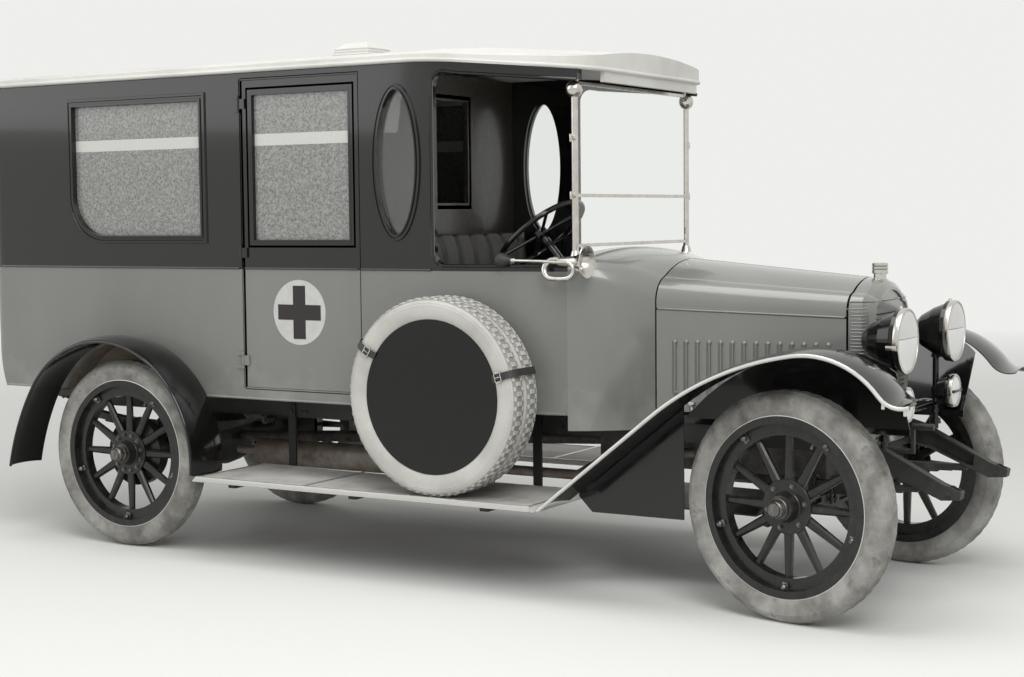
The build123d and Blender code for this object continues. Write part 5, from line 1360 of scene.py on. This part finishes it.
# %% Catches, handles and the ends of the louvres
BONNET_REAR = (1.140, 0.356)
BONNET_SLOPE = 0.090 / 0.790
CATCH_X = (1.300, 1.760)
CATCH_OUT = 0.012
BRACKET_Z = (0.762, 0.778)
ROD_Z = (0.734, 0.768)
COIL = {"turns": 5, "steps": 60, "r": 0.0065, "low": 0.737, "tall": 0.0255}
GRIP_X, GRIP_Z = 1.530, 0.782
GRIP_OUT = 0.018
LOUVRES, LOUVRE_X, LOUVRE_RUN = 14, 1.220, 0.630
LOUVRE_ENDS = ((1.020, 0.012), (0.814, 0.009))


def bonnet_y(x):
    """Half the width of the bonnet's upright side."""
    return BONNET_REAR[1] - BONNET_SLOPE * (x - BONNET_REAR[0])


def coil(x, y):
    """Points along the spring of a catch."""
    points = []
    for n in range(COIL["steps"] + 1):
        share = n / COIL["steps"]
        turn = 2 * math.pi * COIL["turns"] * share
        points.append((x + COIL["r"] * math.cos(turn), y + COIL["r"] * math.sin(turn),
                       COIL["low"] + COIL["tall"] * share))
    return points


def catches_and_grip(bm):
    """Two catches and the lifting handle of the right side."""
    for x in CATCH_X:
        y = -bonnet_y(x) - CATCH_OUT
        slab(bm, (x - 0.013, y - 0.006, BRACKET_Z[0]), (x + 0.013, y + 0.013, BRACKET_Z[1]), 0.003)
        tube(bm, coil(x, y), 0.0014, 6)
        bar(bm, (x, y, ROD_Z[0]), (x, y, ROD_Z[1]), 0.0028, sides=10)
    for x in (GRIP_X - 0.042, GRIP_X + 0.042):
        bar(bm, (x, -bonnet_y(x), GRIP_Z), (x, -bonnet_y(x) - GRIP_OUT, GRIP_Z), 0.0065, 0.005, 12)
    ends = (GRIP_X - 0.052, GRIP_X + 0.052)
    tube(bm, [(x, -bonnet_y(x) - GRIP_OUT, GRIP_Z) for x in ends], 0.0055, 10)


def louvre_bumps(bm):
    """The rounded ends of the louvres on the right side."""
    for n in range(LOUVRES):
        x = LOUVRE_X + LOUVRE_RUN * n / (LOUVRES - 1)
        for z, tall in LOUVRE_ENDS:
            place = Matrix.Translation((x + 0.006, -bonnet_y(x) - 0.001, z))
            size = Matrix.Diagonal((0.009, 0.0095, tall, 1))
            bmesh.ops.create_uvsphere(bm, u_segments=14, v_segments=8, radius=1, matrix=place @ size)


for side in SIDES:
    bm = bmesh.new()
    catches_and_grip(bm)
    on_side(bm, side)
    finished(bm, f"bonnet_fittings_{side}", nickel, f"bonnet_side_{side}")
    bm = bmesh.new()
    louvre_bumps(bm)
    on_side(bm, side)
    finished(bm, f"louvre_ends_{side}", grey_paint, f"bonnet_side_{side}", crease=60)

# %% [markdown]
# ## Fender edges
#
# The rolled outer edge of a fender is its strongest line in the photograph: a bright rail from the running
# board over the wheel to the tip, with two small tabs at the front. It follows the fender's own outline, a
# straight line and three arcs that each start in the direction in which the last one ended.

# %% Rolled edges of the fenders
FENDER_Y = 0.850
FRONT_START = Vector((0.856, 0.377))
FRONT_RISE = Vector((0.517, 0.416)).normalized()
FRONT_RUN = 0.640
FRONT_ARCS = [((1.923, 1.029), 22), ((2.260, 0.893), 12), ((2.365, 0.862), 6)]
FRONT_IN, FRONT_EDGE_R = 0.007, 0.0078
TABS = ((2.272, 0.868), (2.352, 0.847))
REAR_AXLE = Vector((-1.470, 0.440))
REAR_FENDER_R = 0.545
REAR_FROM, REAR_SWEEP, REAR_STEPS = -5.0, 152.5, 40
REAR_END = Vector((-2.082, 0.360))
REAR_IN, REAR_EDGE_R = 0.009, 0.0065


def tangent_arc(start, along, end, steps):
    """Points on the arc that leaves start in a direction and passes through end, and its direction there."""
    chord = end - start
    normal = Vector((-along.y, along.x))
    radius = chord.length_squared / (2 * chord.dot(normal))
    centre = start + normal * radius
    a = math.atan2(start.y - centre.y, start.x - centre.x)
    b = math.atan2(end.y - centre.y, end.x - centre.x)
    turn = (b - a + math.pi) % (2 * math.pi) - math.pi
    points = [centre + abs(radius) * Vector((math.cos(a + turn * n / steps), math.sin(a + turn * n / steps)))
              for n in range(1, steps + 1)]
    unit = chord.normalized()
    return points, 2 * along.dot(unit) * unit - along


def edge_line(path, inward):
    """The path moved inward across its own direction, as points at the fender's outer edge."""
    moved = []
    for n, point in enumerate(path):
        along = (path[min(n + 1, len(path) - 1)] - path[max(n - 1, 0)]).normalized()
        across = Vector((along.y, -along.x))
        moved.append(Vector((point.x + inward * across.x, -FENDER_Y, point.y + inward * across.y)))
    return moved


path = [FRONT_START + FRONT_RUN * FRONT_RISE * n / 4 for n in range(5)]
along = FRONT_RISE
for end, steps in FRONT_ARCS:
    points, along = tangent_arc(path[-1], along, Vector(end), steps)
    path += points
bm = bmesh.new()
tube(bm, edge_line(path, FRONT_IN), FRONT_EDGE_R, 10)
for x, z in TABS:
    slab(bm, (x - 0.006, -FENDER_Y - 0.003, z - 0.022), (x + 0.006, -FENDER_Y + 0.003, z + 0.010), 0.002)
both_sides(bm)
finished(bm, "front_fender_edges", edge_metal, "vehicle")

turns = [math.radians(REAR_FROM + REAR_SWEEP * n / REAR_STEPS) for n in range(REAR_STEPS + 1)]
path = [REAR_AXLE + REAR_FENDER_R * Vector((math.cos(t), math.sin(t))) for t in turns]
along = Vector((-math.sin(turns[-1]), math.cos(turns[-1])))
points, _ = tangent_arc(path[-1], along, REAR_END, 10)
bm = bmesh.new()
tube(bm, edge_line(list(reversed(path + points)), REAR_IN), REAR_EDGE_R, 10)
both_sides(bm)
finished(bm, "rear_fender_edges", enamel, "vehicle")

# %% [markdown]
# ## Strips on the running boards
#
# Metal strips along its edges hold each running board's covering, and four more cross it. Small domed
# screws go through the long ones. A strip is a thin bevelled block.

# %% Running-board strips
BOARD_FROM, BOARD_TO = -0.905, 0.824
CROSS_STRIPS = (-0.905, -0.320, 0.224, 0.810)
SCREWS, SCREW_X, SCREW_STEP = 16, -0.880, 0.112
SCREW_Y = (-0.846, -0.383)

bm = bmesh.new()
slab(bm, (BOARD_FROM, -0.8535, 0.3635), (BOARD_TO, -0.8390, 0.3885), 0.003)
slab(bm, (BOARD_FROM, -0.3905, 0.3800), (BOARD_TO, -0.3760, 0.3885), 0.003)
for x in CROSS_STRIPS:
    slab(bm, (x, -0.845, 0.3830), (x + 0.014, -0.380, 0.3880), 0.0015)
for n in range(SCREWS):
    x = SCREW_X + SCREW_STEP * n
    for y in SCREW_Y:
        bar(bm, (x, y, 0.3880), (x, y, 0.3900), 0.0045, 0.0030, 10)
both_sides(bm)
finished(bm, "running_board_strips", edge_metal, "vehicle")

# %% [markdown]
# ## Straps on the spare tyres
#
# Two leather straps go from the disc over the tyres to the body. A strap is a ribbon that lies close on
# what it holds. Its section across the tyres is one line of points, which is extruded to the strap's width
# and then given a thickness by solidify. The buckle sits on the outer wall: a nickel frame with a tongue
# across it.

# %% Two straps with buckles
SPARE_CENTRE = Vector((SPARE_X, 0, SPARE_Z))
STRAPS_AT = (149, 16)
STRAP_LINE = [(0.316, -0.8405), (0.330, -0.8490), (0.345, -0.8540), (0.368, -0.8570), (0.390, -0.8530),
              (0.405, -0.8430), (0.4175, -0.8260), (0.4205, -0.8000), (0.4200, -0.7490), (0.4205, -0.7000),
              (0.4175, -0.6730), (0.400, -0.6560), (0.375, -0.6470)]
STRAP_HALF = 0.015
STRAP_THICK = 0.0028
BUCKLE_R, BUCKLE_Y = 0.352, -0.8575
BUCKLE_BARS = [((-0.016, -0.021, -0.002), (-0.012, 0.021, 0.004)),
               ((0.012, -0.021, -0.002), (0.016, 0.021, 0.004)),
               ((-0.016, -0.021, -0.002), (0.016, -0.017, 0.004)),
               ((-0.016, 0.017, -0.002), (0.016, 0.021, 0.004)),
               ((-0.014, -0.0015, 0.003), (0.016, 0.0015, 0.0055))]

straps, buckles = bmesh.new(), bmesh.new()
for angle in map(math.radians, STRAPS_AT):
    out = Vector((math.cos(angle), 0, math.sin(angle)))
    along = Vector((-math.sin(angle), 0, math.cos(angle)))
    line = [SPARE_CENTRE + r * out + Vector((0, y, 0)) for r, y in STRAP_LINE]
    verts = [straps.verts.new(point - STRAP_HALF * along) for point in line]
    edges = [straps.edges.new(pair) for pair in zip(verts, verts[1:])]
    made = bmesh.ops.extrude_edge_only(straps, edges=edges)["geom"]
    bmesh.ops.translate(straps, vec=2 * STRAP_HALF * along,
                        verts=[g for g in made if isinstance(g, bmesh.types.BMVert)])
    turn = Matrix((out, along, Vector((0, -1, 0)))).transposed().to_4x4()
    place = Matrix.Translation(SPARE_CENTRE + BUCKLE_R * out + Vector((0, BUCKLE_Y, 0))) @ turn
    for low, high in BUCKLE_BARS:
        slab(buckles, low, high, 0.001, place=place)
straps.normal_update()
bmesh.ops.recalc_face_normals(straps, faces=straps.faces)
bmesh.ops.solidify(straps, geom=straps.faces[:], thickness=-STRAP_THICK)
finished(straps, "spare_straps", leather, "vehicle")
finished(buckles, "strap_buckles", nickel, "vehicle")

# %% [markdown]
# ## Horn
#
# The bulb horn is one brass tube, nickelled, that grows from the bulb to the bell. It makes one long loop
# below the windscreen and then opens into the bell. A sweep with a changing radius is what the tube helper
# does, when it gets a list of radii. The bell is turned, with a wall and a rolled rim, and the rubber bulb
# is pear-shaped.

# %% Bulb horn
BELL = Vector((0.972, -0.628, 1.353))
SOCKET = Vector((0.634, -0.6325, 1.3570))
BULB = Vector((0.590, -0.6315, 1.3570))
FRONT_LOOP_Y = -0.6500
TUBE_THIN, TUBE_GROWS, GROWTH_POINTS = 0.0058, 0.0068, 17
BELL_LINE = [(0.0, -0.128), (0.0150, -0.130), (0.0180, -0.110), (0.0200, -0.090), (0.0225, -0.070),
             (0.0260, -0.050), (0.0330, -0.032), (0.0410, -0.020), (0.0520, -0.0085), (0.0620, -0.0020),
             (0.0660, -0.0005), (0.0675, -0.0030), (0.0690, -0.0015), (0.0685, 0.0015), (0.0655, 0.0020),
             (0.0605, 0.0002), (0.0505, -0.0062), (0.0385, -0.0180), (0.0300, -0.0305), (0.0220, -0.0490),
             (0.0160, -0.0715), (0.0110, -0.0950), (0.0, -0.0960)]
SOCKET_LINE = [(0.0, 0.006), (0.0090, 0.006), (0.0105, 0.004), (0.0105, -0.010), (0.0085, -0.013),
               (0.0, -0.013)]
BULB_LINE = [(0.0, 0.046), (0.0085, 0.044), (0.0100, 0.034), (0.0150, 0.020), (0.0250, 0.006),
             (0.0320, -0.010), (0.0330, -0.020), (0.0290, -0.031), (0.0200, -0.037), (0.0090, -0.0385),
             (0.0, -0.0385)]

loop = [(0.640, -0.6340, 1.3570), (0.700, -0.6400, 1.3565), (0.790, -0.6480, 1.3550),
        (0.850, FRONT_LOOP_Y, 1.3520)]
for turn in angles(10, 161, 25):
    loop.append((0.8820 + 0.0400 * math.sin(turn), FRONT_LOOP_Y, 1.3190 + 0.0330 * math.cos(turn)))
loop += [(0.870, -0.6490, 1.2850), (0.850, -0.6470, 1.2845), (0.830, -0.6450, 1.2850)]
for n, turn in enumerate(angles(15, 166, 25)):
    loop.append((0.8180 - 0.0400 * math.sin(turn), -0.6430 + 0.0026 * n, 1.3230 - 0.0380 * math.cos(turn)))
loop += [(0.830, -0.6240, 1.3610), (0.848, -0.6250, 1.3590), (0.870, -0.6275, 1.3540)]
radii = [TUBE_THIN + TUBE_GROWS * min(n / GROWTH_POINTS, 1) for n in range(len(loop))]
bm = bmesh.new()
tube(bm, loop, radii, 16)
turned(bm, BELL_LINE, 64, Matrix.Translation(BELL) @ TO_X)
turned(bm, SOCKET_LINE, 32, Matrix.Translation(SOCKET) @ TO_X)
slab(bm, (0.838, -0.6300, 1.2740), (0.852, -0.5780, 1.2880), 0.002)
horn = finished(bm, "horn_tube_and_bell", nickel, "vehicle")
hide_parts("horn")
bm = bmesh.new()
turned(bm, BULB_LINE, 40, Matrix.Translation(BULB) @ TO_X)
bulb = finished(bm, "horn_bulb", bulb_rubber, "vehicle", crease=60)
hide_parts("horn")

# %% [markdown]
# ## Windscreen fittings
#
# The upper pane of such a windscreen tips open. Its pivots are clamped by a thumb screw on each post, and
# each post stands in a nickel foot on the scuttle.

# %% Thumb screws and feet
SCREEN_X = 0.866
SCREEN_PIVOTS = (1.620, 1.852)

bm = bmesh.new()
for sense in SIDES.values():
    for z in SCREEN_PIVOTS:
        bar(bm, (SCREEN_X, sense * 0.540, z), (SCREEN_X, sense * 0.556, z), 0.0120, 0.0100, 20)
        slab(bm, (0.862, sense * 0.562 - 0.006, z - 0.016), (0.870, sense * 0.562 + 0.006, z + 0.016), 0.0025)
    bar(bm, (SCREEN_X, sense * 0.530, 1.366), (SCREEN_X, sense * 0.530, 1.394), 0.0250, 0.0170, 32)
finished(bm, "windscreen_fittings", nickel, "vehicle")

# %% [markdown]
# ## Seat cushions
#
# The seat is stuffed leather with sewn channels that run from front to back and up the backrest. A block
# with rounded edges looks like wood, because stuffing pushes leather outwards everywhere except at its
# seams. Cloth simulation gives that shape: the block becomes an even net of small squares (voxel remesh),
# the net is blown up a little with air pressure and no gravity, and no point may go further than about two
# centimetres. The channels come after it, as narrow grooves pressed into the swollen shape, because a
# remesh would wipe them out.

# %% Blown-up cushions with sewn channels
VOXEL = 0.010
PRESSURE = 4
SIM_STEPS = 20
CHANNEL_STEP = 0.1325
CHANNEL_DEEP = 0.015
CHANNEL_HALF = 0.011
SEAT_FRONT, SEAT_HALF, SEAT_FLOOR = 0.572, 0.530, 1.0008
PAD_HALF = 0.508
BACK = [(0.070, 1.118), (0.030, 1.478), (-0.004, 1.478), (-0.018, 1.400), (0.024, 1.022), (0.070, 1.022)]


def settled_mesh(pad):
    """The mesh of a piece with its modifiers worked in."""
    graph = bpy.context.evaluated_depsgraph_get()
    return bpy.data.meshes.new_from_object(pad.evaluated_get(graph))


def blow_up(pad, cap):
    """Swells a piece by air pressure, no point moving further than the cap. Gives the new mesh."""
    remesh = pad.modifiers.new("voxels", "REMESH")
    remesh.mode = "VOXEL"
    remesh.voxel_size = VOXEL
    net = settled_mesh(pad)
    pad.modifiers.clear()
    pad.data = net
    start = [vert.co.copy() for vert in net.vertices]
    cloth = pad.modifiers.new("cloth", "CLOTH")
    cloth.settings.use_pressure = True
    cloth.settings.uniform_pressure_force = PRESSURE
    cloth.settings.effector_weights.gravity = 0
    for step in range(1, SIM_STEPS + 1):
        scene.frame_set(step)
    full = settled_mesh(pad)
    pad.modifiers.clear()
    scene.frame_set(1)
    for vert, rest in zip(full.vertices, start):
        move = vert.co - rest
        vert.co = rest + move * min(1, cap / max(move.length, 1e-9))
    return full


def sew(full, rear):
    """Presses the channels into a cushion and keeps it in front of the rear limit and inside the seat box."""
    normals = [vert.normal.copy() for vert in full.vertices]
    for vert, normal in zip(full.vertices, normals):
        across = (vert.co.y / CHANNEL_STEP) % 1
        near = min(across, 1 - across) * CHANNEL_STEP
        faces_out = min(max(max(normal.x, normal.z), 0) / 0.7, 1)
        x, y, z = vert.co - normal * CHANNEL_DEEP * faces_out * math.exp(-(near / CHANNEL_HALF) ** 2)
        vert.co = (min(max(x, rear), SEAT_FRONT), min(max(y, -SEAT_HALF), SEAT_HALF), max(z, SEAT_FLOOR))


def cushion(bm, name, cap, rear):
    """Makes a leather cushion from a closed form."""
    bmesh.ops.recalc_face_normals(bm, faces=bm.faces)
    mesh = bpy.data.meshes.new(name)
    bm.to_mesh(mesh)
    bm.free()
    pad = bpy.data.objects.new(name, mesh)
    scene.collection.objects.link(pad)
    full = blow_up(pad, cap)
    sew(full, rear)
    pad.data = full
    full.shade_smooth()
    full.materials.clear()
    full.materials.append(leather.material)
    smooth = pad.modifiers.new("smooth", "SUBSURF")
    smooth.levels = smooth.render_levels = 1
    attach(pad, "vehicle")
    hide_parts("front_seat")
    print(name, len(full.polygons), "faces")


bm = bmesh.new()
slab(bm, (0.105, -PAD_HALF, 1.006), (0.548, PAD_HALF, 1.094), 0.022, 3)
cushion(bm, "seat_cushion", cap=0.022, rear=0.090)
bm = bmesh.new()
prism(bm, [(x, -PAD_HALF, z) for x, z in BACK], (0, 2 * PAD_HALF, 0))
bmesh.ops.bevel(bm, geom=bm.edges[:], offset=0.009, segments=2, profile=0.5, affect="EDGES", material=-1)
cushion(bm, "seat_back", cap=0.018, rear=-0.040)

# %% [markdown]
# ## Dials
#
# A few dials sit on the board below the windscreen. Dials, plates and signs are blank here. The bezels are
# turned rings, each face is a flat disc and each needle a sliver with a boss, turned to one side.

# %% Dials on the board
BOARD_X = 0.872
DIALS = [(-0.145, 1.292, 0.040), (0.0, 1.302, 0.056), (0.145, 1.292, 0.040)]
KNOBS_Y, KNOBS_Z = (0.245, 0.290), 1.285
NEEDLE_TURN = Matrix.Rotation(math.radians(35), 4, "X")

bezels, faces, needles = bmesh.new(), bmesh.new(), bmesh.new()
for y, z, r in DIALS:
    ring = [(r - 0.005, -0.001), (r + 0.003, 0.0), (r + 0.003, -0.006), (r, -0.010), (r - 0.004, -0.009),
            (r - 0.006, -0.005)]
    turned(bezels, ring, 48, Matrix.Translation((BOARD_X, y, z)) @ TO_X)
    bar(faces, (BOARD_X, y, z), (BOARD_X - 0.0035, y, z), r - 0.004, sides=48)
    bar(needles, (BOARD_X - 0.0036, y, z), (BOARD_X - 0.0060, y, z), 0.005, sides=16)
    place = Matrix.Translation((BOARD_X - 0.0050, y, z)) @ NEEDLE_TURN
    slab(needles, (-0.0008, -0.0012, -0.008), (0.0008, 0.0012, r - 0.012), 0.0003, place=place)
for y in KNOBS_Y:
    bar(bezels, (BOARD_X, y, KNOBS_Z), (BOARD_X - 0.018, y, KNOBS_Z), 0.0095, 0.0075, 20)
finished(bezels, "dial_rims", nickel, "vehicle")
finished(faces, "dial_faces", plain_white, "vehicle")
finished(needles, "dial_needles", enamel, "vehicle")

# %% [markdown]
# ## Levers and pedals
#
# The steering wheel is on the right. Three pedals rise from the floor below it, and a gear lever and a
# brake lever stand to its left. Levers are tubes that grow thinner upwards, knobs are a sphere and a turned
# grip, and the pads are bevelled blocks, tilted to face the seat.

# %% Levers, pedals and knobs
GEAR_LEVER = [(0.700, 0.020, 0.752), (0.690, 0.020, 0.950), (0.668, 0.018, 1.060), (0.630, 0.012, 1.165)]
BRAKE_LEVER = [(0.740, 0.095, 0.752), (0.715, 0.095, 0.950), (0.685, 0.095, 1.190)]
BRAKE_TRIGGER = [(0.700, 0.110, 1.085), (0.686, 0.112, 1.200), (0.682, 0.108, 1.214)]
PEDALS = ((-0.360, 0.026), (-0.245, 0.030), (-0.160, 0.018))
PEDAL_TILT = Matrix.Rotation(math.radians(-38), 4, "Y")
GEAR_KNOB = Matrix.Translation((0.624, 0.011, 1.180))

bm = bmesh.new()
slab(bm, (0.640, -0.020, 0.7465), (0.800, 0.130, 0.7545), 0.003)
tube(bm, GEAR_LEVER, [0.011, 0.009, 0.008, 0.007], 14)
tube(bm, BRAKE_LEVER, [0.012, 0.010, 0.009], 14)
tube(bm, BRAKE_TRIGGER, 0.004, 8)
for y, half in PEDALS:
    tube(bm, [(1.105, y, 0.770), (1.090, y, 0.810), (1.050, y, 0.872)], 0.008, 12)
    place = Matrix.Translation((1.038, y, 0.884)) @ PEDAL_TILT
    slab(bm, (-0.009, -half, -0.038), (0.003, half, 0.038), 0.004, place=place)
finished(bm, "levers_and_pedals", enamel, "vehicle")
bm = bmesh.new()
bmesh.ops.create_uvsphere(bm, u_segments=24, v_segments=14, radius=0.021, matrix=GEAR_KNOB)
bar(bm, (0.689, 0.095, 1.150), (0.683, 0.095, 1.215), 0.0135, 0.0115, 20)
finished(bm, "lever_knobs", nickel, "vehicle")

# %% [markdown]
# ## The partition's window
#
# A wooden partition closes the load space behind the seat. Its window has a plain wooden frame on the cab's
# side, one more stepped moulding.

# %% Frame of the partition's window
PARTITION_X = -0.100
PARTITION_OUT = 0.028
PARTITION_STEPS = [(0.003, 0.007), (0.018, 0.0), (0.004, -0.004), (0.003, -0.006)]

bm = bmesh.new()
y, z0, z1 = 0.190 + PARTITION_OUT, 1.600 - PARTITION_OUT, 2.070 + PARTITION_OUT
moulding(bm, [(PARTITION_X, *corner) for corner in ((-y, z0), (y, z0), (y, z1), (-y, z1))], PARTITION_STEPS)
finished(bm, "partition_window_frame", inner_wood, "vehicle", crease=20)

# %% [markdown]
# ## Bolts below
#
# A chassis is held together by rivets and bolts, and the springs by U-shaped bolts over their axle seats.
# None of them needs its own object. All go into one bmesh, placed by short lists.

# %% U-bolts, rivets and spring bolts
U_BOLTS = ((1.860, 0.325, 0.022, 0.405, 0.498), (-1.470, 0.400, 0.029, 0.440, 0.562))
U_APART = 0.036
RIVETS_X = (0.700, 0.730, 0.250, 0.280, -0.690, -0.660, -2.215, -2.185)
SPRING_EYES = ((2.360, 0.480), (1.360, 0.480), (-0.850, 0.600), (-2.090, 0.600))
BOARD_BOLTS_X = (-0.760, -0.100, 0.560)
BODY_BOLTS_X = (0.700, 0.150, -0.450, -0.900, -1.950)

bm = bmesh.new()
for x, y, half, low, high in U_BOLTS:
    for leg_x in (x - U_APART, x + U_APART):
        arc = [(leg_x, -y - half * math.cos(t), high + 0.012 * math.sin(t)) for t in angles(0, 181, 20)]
        tube(bm, [(leg_x, -y - half, low)] + arc + [(leg_x, -y + half, low)], 0.006, 10)
        for leg_y in (-y - half, -y + half):
            bar(bm, (leg_x, leg_y, low + 0.012), (leg_x, leg_y, low + 0.024), 0.0105, sides=6)
for x in RIVETS_X:
    for z in (0.640, 0.685):
        bar(bm, (x, -0.350, z), (x, -0.356, z), 0.0085, 0.0050, 14)
for x, z in SPRING_EYES:
    y, half = (0.325, 0.029) if x > 0 else (0.400, 0.031)
    for sense in (-1, 1):
        bar(bm, (x, -y + sense * half * 0.6, z), (x, -y + sense * (half + 0.004), z), 0.0110, sides=6)
for x in BOARD_BOLTS_X:
    for z in (0.640, 0.675):
        bar(bm, (x + 0.020, -0.361, z), (x + 0.020, -0.369, z), 0.0095, sides=6)
for x in BODY_BOLTS_X:
    bar(bm, (x, -0.325, 0.7205), (x, -0.325, 0.700), 0.012, sides=6)
both_sides(bm)
finished(bm, "chassis_bolts", chassis, "vehicle")
